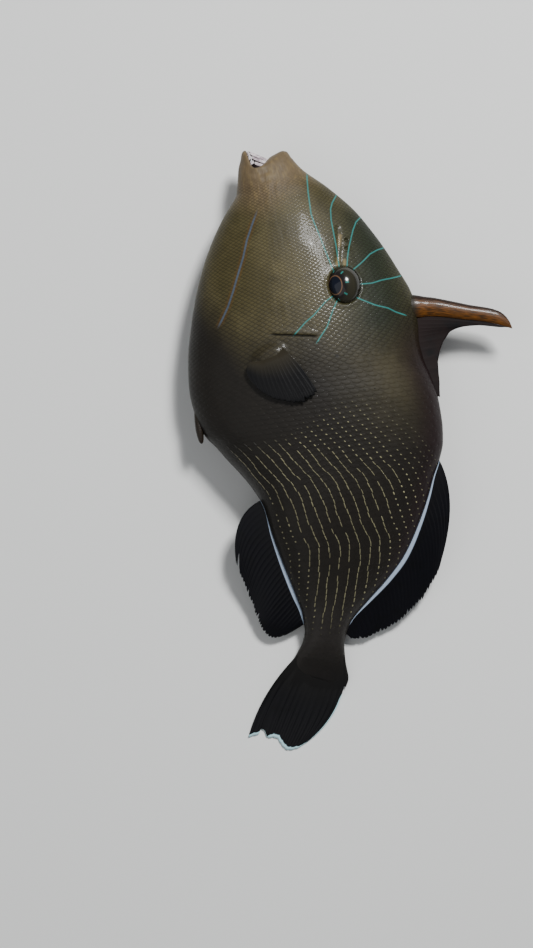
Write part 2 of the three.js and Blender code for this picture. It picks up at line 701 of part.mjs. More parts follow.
const nodes = [
  ["head", headFlesh, "skin"],
  ["trunk", trunk, "skin"],
  ["tail_stalk", stalk, "skin"],
  ["eye_left", eye(1, 0), "eye"],
  ["eye_right", eye(-1, 0), "eye"],
  ["upper_teeth", upperTeeth, "tooth"],
  ["lower_teeth", lowerTeeth, "tooth"],
  ["dorsal_spine", spine, "spine"],
  ["dorsal_spine_membrane", medianFin(SPINE_MEMBRANE).subtract(firstSpine(GAP)).subtract(bodyClear), "fin"],
  ["soft_dorsal_fin", medianFin(SOFT_DORSAL).subtract(bodyClear), "fin"],
  ["anal_fin", medianFin(ANAL).subtract(bodyClear), "fin"],
  ["caudal_fin", medianFin(CAUDAL).subtract(bodyClear), "fin"],
  ["pectoral_fin_left", upperPectoral().subtract(bodyClear), "fin"],
  ["pectoral_fin_right", lowerPectoral(), "fin"],
  ["pelvic_spine", pelvicSpine().subtract(bodyClear), "skin"],
];

function meshOf(name, solid, finish) {
  const { vertProperties, triVerts } = largest(solid).getMesh();
  const geometry = new THREE.BufferGeometry();
  geometry.setAttribute("position", new THREE.BufferAttribute(vertProperties, 3));
  geometry.setIndex(new THREE.BufferAttribute(triVerts, 1));
  geometry.computeVertexNormals();
  const mesh = new THREE.Mesh(geometry, new THREE.MeshStandardMaterial(COLOURS[finish]));
  mesh.name = name;
  return mesh;
}

const fish = new THREE.Group();
for (const [name, solid, finish] of nodes) fish.add(meshOf(name, solid, finish));

export default fish;
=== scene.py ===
# A black durgon, lying on its right flank on a pale table and seen from straight above.
# Lengths are in millimetres in the fish's own frame: s from the snout to the tail, h from the
# belly to the back, z out of the left flank. place() turns them into the model's metres.

import bpy
import numpy as np
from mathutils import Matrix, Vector


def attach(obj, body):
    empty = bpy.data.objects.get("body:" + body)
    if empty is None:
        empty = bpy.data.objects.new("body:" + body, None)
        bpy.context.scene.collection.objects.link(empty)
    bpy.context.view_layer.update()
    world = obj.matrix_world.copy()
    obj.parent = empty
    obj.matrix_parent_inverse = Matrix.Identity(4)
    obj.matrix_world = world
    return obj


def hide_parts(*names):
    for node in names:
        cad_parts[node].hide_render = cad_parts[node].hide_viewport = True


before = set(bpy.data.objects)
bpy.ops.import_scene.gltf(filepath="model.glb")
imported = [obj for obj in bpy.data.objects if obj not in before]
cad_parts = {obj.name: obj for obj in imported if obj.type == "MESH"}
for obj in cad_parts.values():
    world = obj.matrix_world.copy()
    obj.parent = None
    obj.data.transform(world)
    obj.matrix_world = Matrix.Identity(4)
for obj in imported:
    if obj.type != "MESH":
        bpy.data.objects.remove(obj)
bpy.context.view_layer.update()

# The camera looks straight down. The fish's back leans a little across the picture, as in the
# photograph, and the lens is long, so that the flank isn't swollen by the perspective.
PHOTO_WIDTH = 533
PHOTO_HEIGHT = 948
MM_PER_PIXEL = 0.34
SNOUT_PIXEL = (260.7, 148.1)
LEAN = np.radians(7.6)
MIDDLE_S = 102.75
MIDDLE_H = 20.8
FLANK_REST = 15.5
CAMERA_DISTANCE = 1000.0
SENSOR = 36.0

aside = (PHOTO_WIDTH / 2 - SNOUT_PIXEL[0]) * MM_PER_PIXEL
below = (PHOTO_HEIGHT / 2 - SNOUT_PIXEL[1]) * MM_PER_PIXEL
AXIS_S = aside * np.sin(LEAN) + below * np.cos(LEAN)
AXIS_H = aside * np.cos(LEAN) - below * np.sin(LEAN)

camera_data = bpy.data.cameras.new("camera")
camera_data.sensor_width = SENSOR
camera_data.lens = SENSOR * CAMERA_DISTANCE / (PHOTO_HEIGHT * MM_PER_PIXEL)
camera_data.clip_start = 0.05
camera = bpy.data.objects.new("camera", camera_data)
bpy.context.collection.objects.link(camera)
camera.location = (
    (AXIS_H - MIDDLE_H) / 1000,
    (MIDDLE_S - AXIS_S) / 1000,
    (FLANK_REST + CAMERA_DISTANCE) / 1000,
)
camera.rotation_euler = (0, 0, -LEAN)
bpy.context.scene.camera = camera

# Studio light: one soft lamp ahead of the fish and towards its back, a small one beside it that
# puts wet glints on the forehead and lips, a weak broad fill, and a pale room all round.
LAMPS = {
    "key": {"at": (0.36, 0.52, 0.89), "size": 0.22, "power": 14.0},
    "glint": {"at": (0.35, 0.50, 0.95), "size": 0.03, "power": 1.1},
    "fill": {"at": (-0.55, -0.20, 0.90), "size": 1.2, "power": 2.6},
}
ROOM_LIGHT = 0.22
ROOM_COLOUR = (0.92, 0.95, 1.0, 1)

for name, lamp in LAMPS.items():
    data = bpy.data.lights.new(name, "AREA")
    data.size = lamp["size"]
    data.energy = lamp["power"]
    light = bpy.data.objects.new(name, data)
    bpy.context.collection.objects.link(light)
    light.location = lamp["at"]
    light.rotation_euler = (-Vector(lamp["at"])).to_track_quat("-Z", "Y").to_euler()

room = bpy.data.worlds.new("room")
room.use_nodes = True
background = room.node_tree.nodes["Background"].inputs
background["Color"].default_value = ROOM_COLOUR
background["Strength"].default_value = ROOM_LIGHT
bpy.context.scene.world = room

# The table: one sheet of pale matt laminate, level under the fish and wide enough to fill the
# view. It isn't part of the fish.
TABLE_SIDE = 3.0


def linear(hex_colour):
    """Linear RGBA from an sRGB hex colour: each channel c becomes ((c + 0.055) / 1.055) ** 2.4."""
    channels = np.array([int(hex_colour[i : i + 2], 16) for i in (1, 3, 5)]) / 255
    low = channels / 12.92
    high = ((channels + 0.055) / 1.055) ** 2.4
    return (*np.where(channels <= 0.04045, low, high).tolist(), 1.0)


def new_material(name):
    """An empty node material and its surface shader."""
    material = bpy.data.materials.new(name)
    material.use_nodes = True
    return material, material.node_tree.nodes["Principled BSDF"]


def feed(m, node, values):
    """Sets a node's input sockets, by name or number, or links what feeds them."""
    for key, value in values.items():
        socket = node.inputs[key]
        if isinstance(value, bpy.types.NodeSocket):
            m.node_tree.links.new(value, socket)
        else:
            socket.default_value = value


half = TABLE_SIDE / 2
table_mesh = bpy.data.meshes.new("table")
table_mesh.from_pydata(
    [(-half, -half, 0), (half, -half, 0), (half, half, 0), (-half, half, 0)], [], [(0, 1, 2, 3)]
)
table = bpy.data.objects.new("table", table_mesh)
bpy.context.collection.objects.link(table)
table_paint, table_shader = new_material("pale matt laminate")
feed(table_paint, table_shader, {"Base Color": linear("#e4e5e3"), "Roughness": 0.65})
table_mesh.materials.append(table_paint)

# The skin: one hide over the head, trunk and tail stalk, with a small mouth with rolled lips,
# deep oval flanks and a thin keel above and below. It is a tube drawn from the throat, over
# the lips and back to the tail.
DROOP_START = 115
DROOP_END = 200
TAIL_TIP_REST = 0.55
BODY_START = 15
BODY_END = 182
LEAN_PIVOT_H = -5
FRONT_ROWS = 50
TAIL_CLOSING = (0.75, 0.35)
LEFT_COLUMNS = 176
RIGHT_COLUMNS = 66
EVEN_ANGLE = 0.4


def curve(points):
    """Cubic through (x, y...) points that never overshoots: at each point the slope is the
    harmonic mean of its neighbours' slopes, or 0 where they differ in sign. Level beyond."""
    table_rows = np.array(points, float)
    x, y = table_rows[:, 0], table_rows[:, 1:]
    step = np.diff(x)[:, None]
    slope = np.diff(y, axis=0) / step
    product = slope[:-1] * slope[1:]
    total = np.where(product > 0, slope[:-1] + slope[1:], 1)
    inner = np.where(product > 0, 2 * product / total, 0)
    tangent = np.vstack([slope[:1], inner, slope[-1:]])

    def at(value):
        v = np.clip(np.asarray(value, float), x[0], x[-1])
        i = np.clip(np.searchsorted(x, v, side="right") - 1, 0, len(x) - 2)
        w = step[i]
        t = (v - x[i])[..., None] / w
        ends = y[i] * (1 + 2 * t) * (1 - t) ** 2 + y[i + 1] * t * t * (3 - 2 * t)
        turns = tangent[i] * t * (1 - t) ** 2 - tangent[i + 1] * t * t * (1 - t)
        result = ends + w * turns
        return result[..., 0] if y.shape[1] == 1 else result

    return at


BACK = curve([
    (15, 19.5), (17.3, 21.8), (25.1, 28.7), (32.6, 33.5), (39.9, 37.5), (47.3, 40.9), (54.5, 44.0),
    (60, 45.2), (66, 45.2), (72, 44.8), (78, 45.4), (84.8, 47.2), (92, 48.6), (100, 48.9),
    (107, 48.3), (113.2, 46.2), (118.5, 43.6), (124.4, 41.2), (134.1, 36.4), (144, 30.3),
    (151.3, 23.5), (158.1, 15.7), (163, 10.4), (167, 7.4), (171, 6.0), (175, 5.8), (179, 6.1),
    (182, 4.8),
])
BELLY = curve([
    (15, -10.3), (17, -11.8), (20.9, -15.0), (27.9, -19.7), (36.8, -24.4), (46.6, -28.4),
    (56.5, -31.4), (68, -34.0), (79, -35.0), (88, -34.0), (92, -32.8), (95.5, -31.2),
    (98.5, -28.8), (104, -25.1), (110, -20.8), (116, -17.3), (121.4, -15.1), (130.9, -13.6),
    (141.5, -11.2), (152.2, -8.5), (160, -6.9), (165, -6.8), (169.6, -8.2), (173, -10.1),
    (176, -11.7), (179, -13.2), (182, -14.2),
])
HALF_WIDTH = curve([
    (15, 7.4), (25, 10.2), (35, 12.2), (45, 13.5), (55, 14.8), (65, 15.8), (75, 16.3),
    (85, 16.3), (95, 15.8), (105, 14.7), (115, 13.1), (125, 11.3), (135, 9.5), (145, 7.8),
    (155, 6.3), (163, 5.2), (169, 4.4), (174, 3.2), (178, 1.85), (182, 0.95),
])
WIDEST_H = curve([
    (15, 1.3), (20, 2), (60, 2), (80, 3), (100, 6), (120, 9), (140, 8), (155, 4.5), (165, 0.5),
    (175, -2.5), (182, -5.5),
])
UPPER_POWER = curve([(15, 1.12), (30, 1.35), (55, 1.4), (80, 1.2), (120, 1.15), (165, 1)])
LOWER_POWER = curve([(15, 1.05), (40, 1.15), (70, 1.25), (90, 1.35), (110, 1.25), (165, 1)])
SECTION_LEAN = curve([(164, 0), (170, 0.12), (182, 0.46)])

# From the throat out over the lips to the first plain section. Each row gives the place of the
# upper jaw's middle (s, h), the corner's side (s, h, z) and the lower jaw's middle (s, h).
SNOUT_ROWS = np.array([
    (5.6, -1.0, 6.0, -1.8, 0.8, 5.4, -2.4),
    (5.6, 0.7, 6.3, -2.0, 2.4, 4.6, -3.7),
    (5.0, 1.4, 6.7, -2.3, 4.0, 2.6, -4.6),
    (4.0, 2.0, 6.9, -2.4, 4.9, 0.8, -4.9),
    (3.3, 3.0, 7.0, -2.3, 5.3, 0.1, -5.4),
    (2.6, 4.8, 7.3, -2.1, 5.55, 0.3, -6.1),
    (1.9, 7.0, 8.0, -1.8, 5.6, 1.3, -6.8),
    (2.3, 8.5, 8.9, -1.3, 5.8, 3.0, -7.3),
    (4.6, 9.9, 10.3, -0.7, 6.2, 6.2, -8.5),
    (8.9, 12.9, 12.4, 0.4, 6.7, 10.3, -9.3),
    (BODY_START, 19.5, BODY_START, 1.3, 7.4, BODY_START, -10.3),
])
LOWER_LIP_POWER = 0.6
LOWER_LIP_FROM = 0.46
SNOUT_SHARES = (0, 0.10, 0.24, 0.33, 0.39, 0.46, 0.54, 0.61, 0.70, 0.84, 1)


def step(x, low, high):
    """0 below low, 1 above high, and 3t^2 - 2t^3 between."""
    t = np.clip((x - low) / (high - low), 0, 1)
    return t * t * (3 - 2 * t)


def bell(x, width):
    """exp(-(x / width) ** 2)"""
    return np.exp(-((x / width) ** 2))


def droop(s):
    """How far the middle plane sinks from DROOP_START to DROOP_END."""
    return -(FLANK_REST - TAIL_TIP_REST) * step(s, DROOP_START, DROOP_END)


def place(points):
    """Metres in the model's frame: X is h, Y is minus s, and Z is z plus the droop and rest."""
    s, h, z = points[..., 0], points[..., 1], points[..., 2]
    return np.stack([h - MIDDLE_H, MIDDLE_S - s, z + droop(s) + FLANK_REST], axis=-1) / 1000


def section(s, angle):
    """A body section: h is the widest height plus reach times cos(angle), and z is the half
    width times |sin(angle)| to a power."""
    rise, side = np.cos(angle), np.sin(angle)
    upper = rise >= 0
    middle = WIDEST_H(s)
    reach = np.where(upper, BACK(s) - middle, middle - BELLY(s))
    power = np.where(upper, UPPER_POWER(s), LOWER_POWER(s))
    h = middle + reach * rise
    z = np.sign(side) * HALF_WIDTH(s) * np.abs(side) ** power
    return np.stack([s + SECTION_LEAN(s) * (h - LEAN_PIVOT_H), h, z], axis=-1)


def flank(s, h):
    """Height of the left flank over the middle plane: width times (1 - share squared) ** (power / 2)."""
    middle = WIDEST_H(s)
    upper = h >= middle
    share = (h - middle) / np.where(upper, BACK(s) - middle, middle - BELLY(s))
    power = np.where(upper, UPPER_POWER(s), LOWER_POWER(s))
    return HALF_WIDTH(s) * np.clip(1 - share**2, 0, 1) ** (power / 2)


def snout(share, angle):
    """The tube over the lips: each row's s and h go from the corner's to the jaw's middle by
    cos(angle) squared and |cos(angle)|, which has a lower power on the lower lip, and z is the
    corner's times |sin(angle)| ** power."""
    rows = curve(np.column_stack([SNOUT_SHARES, SNOUT_ROWS]))(share)[:, None, :]
    rise, side = np.cos(angle)[None, :], np.sin(angle)[None, :]
    upper = rise >= 0
    jaw_s = np.where(upper, rows[..., 0], rows[..., 5])
    jaw_h = np.where(upper, rows[..., 1], rows[..., 6])
    lip = LOWER_LIP_POWER + (1 - LOWER_LIP_POWER) * step(share, LOWER_LIP_FROM, 1)[:, None]
    curl = np.where(upper, 1, lip)
    s = rows[..., 2] + (jaw_s - rows[..., 2]) * rise**2
    h = rows[..., 3] + (jaw_h - rows[..., 3]) * np.abs(rise) ** curl
    power = np.where(upper, UPPER_POWER(BODY_START), LOWER_POWER(BODY_START))
    z = np.sign(side) * rows[..., 4] * np.abs(side) ** power
    return np.stack([s, h, z], axis=-1)


# Rows of the skin are closest round the eye and the gill slit.
ROW_STEP = curve([(15, 0.55), (28, 0.42), (34, 0.3), (44, 0.26), (56, 0.3), (62, 0.3), (64, 0.2),
                  (67, 0.24), (72, 0.5), (90, 0.75), (182, 0.8)])
fine_s = np.linspace(BODY_START, BODY_END, 4001)
rows_passed = np.concatenate([[0], np.cumsum(np.diff(fine_s) / ROW_STEP(fine_s[1:]))])
BODY_S = np.interp(np.arange(0, rows_passed[-1] + 0.5), rows_passed, fine_s)
BODY_S[-1] = BODY_END


def skin_angles():
    """Angles round the skin, from the back over the left flank to the belly and up the right.
    Each is part uniform in angle and part uniform in height, so that the flanks stay fine."""
    def spread(count):
        x = np.arange(count) / count
        return EVEN_ANGLE * np.pi * x + (1 - EVEN_ANGLE) * np.arccos(1 - 2 * x)

    return np.concatenate([spread(LEFT_COLUMNS), np.pi + spread(RIGHT_COLUMNS)])


# The gill slit leans, so the sections near it lean with it and the slit follows one section.
GILL_SLIT = {"s": 65.3, "h": 2.4, "half": 7.8, "lean": 0.17, "reach": 16}


def skin_shape():
    """The skin's grid of points before any relief, and each point's station along the body."""
    angle = skin_angles()
    front = snout(np.linspace(0, 1, FRONT_ROWS, endpoint=False), angle)
    s = BODY_S[:, None] + 0 * angle
    base = section(s, angle)
    lean = GILL_SLIT["lean"] * bell(s - GILL_SLIT["s"], GILL_SLIT["reach"])
    s = s + lean * (base[..., 1] - GILL_SLIT["h"])
    body = section(s, angle)
    middle = body[-1].mean(axis=0)
    tail = np.stack([middle + (body[-1] - middle) * share for share in TAIL_CLOSING])
    station = np.concatenate([front[..., 0], s, s[-1:], s[-1:]])
    return np.concatenate([front, body, tail]), station


# Heights along the skin. Over most of the flank this is plain h. Near the back and the belly,
# where the skin turns away, it goes on along the skin itself.
EDGE_SHARE = 0.75
MAP_ROWS = 336
MAP_COLUMNS = 241
map_s = np.linspace(BODY_START, BODY_END, MAP_ROWS)
map_angle = np.linspace(0, np.pi, MAP_COLUMNS)
map_points = section(map_s[:, None], map_angle[None, :])
map_steps = np.linalg.norm(np.diff(map_points, axis=1), axis=-1)
map_arc = np.concatenate([0 * map_s[:, None], np.cumsum(map_steps, axis=1)], axis=1)
upper_turn = int(np.searchsorted(map_angle, np.arccos(EDGE_SHARE)))
lower_turn = len(map_angle) - 1 - upper_turn
LEVEL = map_points[..., 1].copy()
turn_arc = LEVEL[:, [upper_turn]] + map_arc[:, [upper_turn]]
LEVEL[:, :upper_turn] = turn_arc - map_arc[:, :upper_turn]
LEVEL[:, lower_turn:] = LEVEL[:, [lower_turn]] - map_arc[:, lower_turn:] + map_arc[:, [lower_turn]]
even = np.linspace(0, 1, MAP_COLUMNS)
TURN = np.stack([
    np.interp(even, (row[0] - row) / (row[0] - row[-1]), map_angle) for row in LEVEL
])


def lookup(table_values, s, share):
    """Bilinear value of a table whose rows lie along map_s and whose columns run from 0 to 1."""
    i = np.clip((s - map_s[0]) / (map_s[1] - map_s[0]), 0, len(map_s) - 1.001)
    j = np.clip(share, 0, 1) * (table_values.shape[1] - 1.001)
    i0, j0 = i.astype(int), j.astype(int)
    fi, fj = i - i0, j - j0
    near = table_values[i0, j0] * (1 - fj) + table_values[i0, j0 + 1] * fj
    far = table_values[i0 + 1, j0] * (1 - fj) + table_values[i0 + 1, j0 + 1] * fj
    return near * (1 - fi) + far * fi


def level_of(station, angle):
    """Height along the skin at a station and an angle of either flank."""
    folded = np.where(angle > np.pi, 2 * np.pi - angle, angle)
    return lookup(LEVEL, station, folded / np.pi)


def normals(points):
    """Unit normals of a closed tube of points: the cross product of its two grid directions."""
    along = np.gradient(points, axis=0)
    wrapped = np.concatenate([points[:, -1:], points, points[:, :1]], axis=1)
    around = (wrapped[:, 2:] - wrapped[:, :-2]) / 2
    normal = np.cross(around, along)
    return normal / np.maximum(np.linalg.norm(normal, axis=-1, keepdims=True), 1e-9)


def oval(s, h, shape):
    """Distance from an oval's middle, as a share of its half sizes."""
    return np.hypot((s - shape["s"]) / shape["along"], (h - shape["h"]) / shape["across"])


def signed_distance(s, h, path):
    """Distance in millimetres to a path of straight runs, and the same with a minus sign on
    the path's right-hand side."""
    best = np.full(np.shape(s), 1e9)
    signed = np.zeros(np.shape(s))
    for (s0, h0), (s1, h1) in zip(path[:-1], path[1:]):
        ds, dh = s1 - s0, h1 - h0
        t = np.clip(((s - s0) * ds + (h - h0) * dh) / (ds * ds + dh * dh), 0, 1)
        away = np.hypot(s - s0 - t * ds, h - h0 - t * dh)
        nearer = away < best
        best = np.where(nearer, away, best)
        across = np.sign((h - h0) * ds - (s - s0) * dh)
        signed = np.where(nearer, away * across, signed)
    return best, signed


# Relief in the skin: the eye's socket, two nostrils and a groove ahead of it, the gill slit,
# the pectoral fin's muscle and the folds behind the mouth's corner.
EYE = {"s": 50.65, "h": 21.6, "along": 6.8, "across": 5.8, "out": 5.4, "proud": 3.0}
NOSTRILS = ((35.4, 24.4), (38.2, 24.1))
EYE_GROOVE = ((31, 22.2), (36, 21.8), (42.2, 20.6))
FIN_MUSCLE = {"s": 70.8, "h": -6.6, "along": 3.8, "across": 6.6, "out": 1.3, "lean": 0.3}
MOUTH_FOLDS = (((8.6, -4.8), (9.6, -2.0), (9.0, 1.2)), ((11.2, -5.2), (12.4, -2.2), (11.6, 1.6)))
RELIEF_FADE = (1.5, 4.0)


def gill_slit(s, h):
    """Distance across the gill slit, and 1 along its length fading to 0 past its ends."""
    across = s - GILL_SLIT["s"] - GILL_SLIT["lean"] * (h - GILL_SLIT["h"])
    along = np.abs(h - GILL_SLIT["h"]) / GILL_SLIT["half"]
    return across, 1 - step(along, 0.8, 1.1)


def relief(points):
    """Height of the skin's relief in millimetres: a sum of bells and steps of distances, which
    fades out where the flank turns into the back or the belly."""
    s, h = points[..., 0], points[..., 1]
    # The eye's rim, its pit, and the groove ahead of it
    eye = oval(s, h, EYE)
    rise = 0.1 * bell(eye - 1.05, 0.1) - 2.2 * (1 - step(eye, 0.76, 0.98))
    rise -= 0.4 * bell(signed_distance(s, h, EYE_GROOVE)[0], 0.8) * step(eye, 1.0, 1.3)
    # Each nostril's rim and pit
    for at in NOSTRILS:
        away = np.hypot(s - at[0], h - at[1])
        rise += 0.25 * bell(away - 0.95, 0.3) - 0.9 * bell(away, 0.45)
    # The gill cover's low edge, and the slit behind it
    slit, window = gill_slit(s, h)
    rise += window * (0.16 * bell(slit + 1.1, 1.0) - 0.6 * bell(slit, 0.26))
    # The fin's muscle: an oval pad turned by its lean
    lean = FIN_MUSCLE["lean"]
    ds, dh = s - FIN_MUSCLE["s"], h - FIN_MUSCLE["h"]
    pad = np.hypot(
        (ds * np.cos(lean) + dh * np.sin(lean)) / FIN_MUSCLE["along"],
        (dh * np.cos(lean) - ds * np.sin(lean)) / FIN_MUSCLE["across"],
    )
    rise += FIN_MUSCLE["out"] * (1 - step(pad, 0.35, 1.1))
    for fold in MOUTH_FOLDS:
        rise -= 0.12 * bell(signed_distance(s, h, fold)[0], 0.7)
    return rise * step(np.abs(points[..., 2]), *RELIEF_FADE)


# Markings are laid out as the photograph shows them, square on, so each point is first taken
# to where the camera sees it.
def camera_scale(s, z):
    """Camera distance / (camera distance - height over the middle plane at rest)."""
    return CAMERA_DISTANCE / (CAMERA_DISTANCE - np.abs(z) - droop(s))


def seen(s, h, z):
    """s and h as they look from the camera: their distance from its axis grows by the scale."""
    scale = camera_scale(s, z)
    return AXIS_S + (s - AXIS_S) * scale, AXIS_H + (h - AXIS_H) * scale


TEAL_LINES = (
    ((11.5, 14.3), (16.9, 14.0), (24.5, 14.0), (27.3, 14.6), (32.6, 16.0), (37.2, 17.1), (44.3, 18.9)),
    ((19.5, 23.2), (21.7, 21.6), (23.7, 20.8), (27.4, 20.5), (36.0, 21.0), (43.3, 21.1)),
    ((28.0, 30.3), (29.2, 28.8), (31.8, 27.4), (37.3, 25.3), (40.9, 24.3), (43.6, 23.8)),
    ((39.2, 36.7), (39.6, 34.6), (40.6, 32.1), (42.1, 30.2), (43.5, 28.3), (44.9, 26.0)),
    ((49.4, 41.2), (49.7, 38.4), (49.9, 34.9), (50.5, 31.4), (50.3, 27.4)),
    ((62.7, 41.1), (61.3, 38.2), (59.6, 35.7), (58.0, 31.5), (55.3, 26.7), (54.5, 25.4)),
    ((53.1, 17.7), (54.5, 15.1), (58.6, 10.5), (60.6, 7.4), (64.2, 3.2)),
    ((55.0, 18.8), (57.8, 17.1), (63.3, 14.3), (66.0, 11.9), (67.6, 10.6)),
)
CHEEK_LINE = (
    (20.1, -3.6), (25.5, -6.4), (30.4, -8.8), (36.2, -10.9), (41.7, -13.4), (47.2, -15.8),
    (52.1, -18.2), (56.2, -20.8), (58.7, -22.5),
)
EYE_SEEN = {"s": 49.7, "h": 22.15, "along": 6.1, "across": 5.2}
# Pale yellow glints painted where the groove by the nostrils and ahead of the eye catches the light, the
# bare skin behind the gill slit, and one pore above the fin, painted dark as the shade in it.
GROOVE_GLINTS = (((33.0, 22.8), (36.3, 22.0)), ((40.6, 21.2), (42.6, 20.6)), ((41.6, 23.2), (43.0, 23.0)))
GILL_PATCH = ((65.5, -6), (68.5, 9))
PORE = (73.5, 16.4)
# One row of the rear body's scales, from the chest to the tail, and the rows' spacing.
SCALE_ROW = curve([
    (70, -29.5), (84, -19.4), (97.8, -9.45), (103.8, -4.7), (111, -0.1), (114.1, 2.2), (118.5, 4.1),
    (122.4, 5.2), (126.7, 6.0), (132.3, 7.25), (137.4, 8.6), (141.5, 8.2), (148, 6.8),
    (154.4, 5.1), (161.2, 3.0), (170, 0.4), (184, -4),
])
ROW_SPACING = curve([(85, 3.5), (114, 3.45), (140, 3.47), (155, 3.3), (166, 3.05), (182, 2.6)])
SCALE_LENGTH = 2.06
row_s = np.linspace(60, 190, 1301)
row_steps = np.hypot(np.diff(row_s), np.diff(SCALE_ROW(row_s))) / SCALE_LENGTH
row_count = np.concatenate([[0], np.cumsum(row_steps)])
# The small scales of the head and chest grow from the snout to the trunk.
HEAD_SCALE = curve([(8, 0.95), (25, 1.15), (50, 1.35), (75, 1.9), (100, 2.6)])
head_s = np.linspace(0, 120, 601)
head_count = np.concatenate([[0], np.cumsum(np.diff(head_s) / HEAD_SCALE(head_s[1:]))])
# The head's scales are rhombs: their sides lean by this many scales of height for each of length.
RHOMB = 0.62


def head_cell(s, level):
    """Which small scale a place belongs to, as two counts along the rhombs' sides."""
    count = np.interp(s, head_s, head_count)
    drift = RHOMB * level / HEAD_SCALE(s)
    return count + drift, count - drift


def head_place(a, b):
    """The place of two such counts."""
    s = np.interp((a + b) / 2, head_count, head_s)
    return s, (a - b) / (2 * RHOMB) * HEAD_SCALE(s)


def rear_cell(s, level):
    """Which large scale a place belongs to, as counts along and across the rows."""
    return np.interp(s, row_s, row_count), (level - SCALE_ROW(s)) / ROW_SPACING(s)


def rear_place(along, across):
    """The place of two such counts."""
    s = np.interp(along, row_count, row_s)
    return s, SCALE_ROW(s) + across * ROW_SPACING(s)


def rear_share(s, h):
    """0 where the scales are the head's and 1 where they are the rear body's."""
    return step(s + 0.25 * h, 74, 88)


def marking_fields(points, level, lining=0):
    """What the skin's colours are worked out from: signed distances to the lines, places in the two
    lattices of scales, and shares of each tone of skin and of the mouth's lining, which is painted shade."""
    scale = camera_scale(points[..., 0], points[..., 2])
    s, h = seen(points[..., 0], points[..., 1], points[..., 2])
    level = AXIS_H + (level - AXIS_H) * scale
    best = np.full(s.shape, 1e9)
    signed = np.zeros(s.shape)
    for path in TEAL_LINES:
        away, across = signed_distance(s, h, path)
        signed = np.where(away < best, across, signed)
        best = np.minimum(best, away)
    # The cheek's line fades in behind the mouth and out before the gill slit.
    cheek_away, cheek = signed_distance(s, h, CHEEK_LINE)
    cheek_mask = (1 - step(cheek_away, 2.6, 3.4)) * step(s, 19.5, 25) * (1 - step(s, 56, 59.5))
    # The slit's shadow, and the bare patch behind it
    slit_across, slit_window = gill_slit(points[..., 0], points[..., 1])
    slit = slit_window * bell(slit_across, 0.28)
    patch = bell(signed_distance(s, h, GILL_PATCH)[0], 3.2) * (1 - step(np.abs(h - 2), 9, 15))
    patch = patch * step(s, 63, 66)
    # Bare lips, the rear body's scales, and the head's in between
    rear = rear_share(s, h)
    head = step(s, 9, 15) * (1 - rear)
    # Red-brown along the back, slate over the trunk and chest, tan by the mouth, green above it
    rise = (h - BELLY(s)) / (BACK(s) - BELLY(s))
    red = step(rise, 0.84, 1.0) * step(s, 52, 84) * (1 - step(s, 150, 165))
    trunk_dark = step(s, 50, 82) * (1 - 0.4 * step(rise, 0.5, 0.9) * (1 - step(s, 84, 112)))
    dark = np.maximum(trunk_dark, step(s + 1.6 * (6 - h), 84, 116))
    tan = step(26 - s + 0.5 * (4 - np.abs(h + 2)), 0, 14)
    green = bell(h - 33, 14) * step(s, 10, 30) * (1 - step(s, 62, 80))
    # Painted shade: black in the pore and in the eye's socket. Painted highlight: pale glints in the
    # groove ahead of the eye
    pore = bell(np.hypot(s - PORE[0], h - PORE[1]), 0.6)
    black = np.maximum(pore, 1 - step(oval(s, h, EYE_SEEN), 0.99, 1.07))
    pale = sum(bell(signed_distance(s, h, fold)[0], 0.5) for fold in GROOVE_GLINTS)
    fields = {
        "teal": (signed, 1 - step(best, 0.8, 1.4), pale),
        "cheek": (cheek, cheek_mask, slit),
        "rows": (*rear_cell(s, level), rear),
        "net": (*head_cell(s, level), head),
        "tone": (red, dark, tan),
        "more": (green, patch, black),
        # Black towards the tail, the mouth's painted shade, and a paler tail stalk that is partly a
        # painted highlight
        "ends": (0.6 * step(s, 169, 187), lining + 0 * s, 0.7 * bell(s - 165, 10)),
    }
    return {name: np.stack(values, axis=-1) for name, values in fields.items()}


def build(name, points, quads, fans, fields, unwrap=None):
    """A smooth mesh from points of the fish's frame, with its faces turned outwards if the sum
    of their cones' volumes is negative. Fields are three values a point, kept as attributes."""
    corner = points[quads]
    volume = np.sum(corner[:, 0] * np.cross(corner[:, 1], corner[:, 2]))
    volume += np.sum(corner[:, 0] * np.cross(corner[:, 2], corner[:, 3]))
    if volume < 0:
        quads, fans = quads[:, ::-1], fans[:, ::-1]
    mesh = bpy.data.meshes.new(name)
    mesh.from_pydata(place(points).tolist(), [], quads.tolist() + fans.tolist())
    mesh.polygons.foreach_set("use_smooth", np.ones(len(mesh.polygons), bool))
    for key, values in fields.items():
        attribute = mesh.attributes.new(key, "FLOAT_VECTOR", "POINT")
        attribute.data.foreach_set("vector", np.ascontiguousarray(values, float).ravel())
    if unwrap is not None:
        corners = np.empty(len(mesh.loops), int)
        mesh.loops.foreach_get("vertex_index", corners)
        layer = mesh.uv_layers.new(name="OFBake")
        layer.data.foreach_set("uv", unwrap[corners].ravel())
    piece = bpy.data.objects.new(name, mesh)
    bpy.context.collection.objects.link(piece)
    return piece


def closed(grids):
    """Tubes' points or values, with the mean of each tube's first and last rings added."""
    count = len(grids)
    ends = np.stack([grids[:, 0].mean(axis=1), grids[:, -1].mean(axis=1)], axis=1)
    flat = grids.reshape(count, -1, grids.shape[-1])
    return np.concatenate([flat, ends], axis=1).reshape(-1, grids.shape[-1])


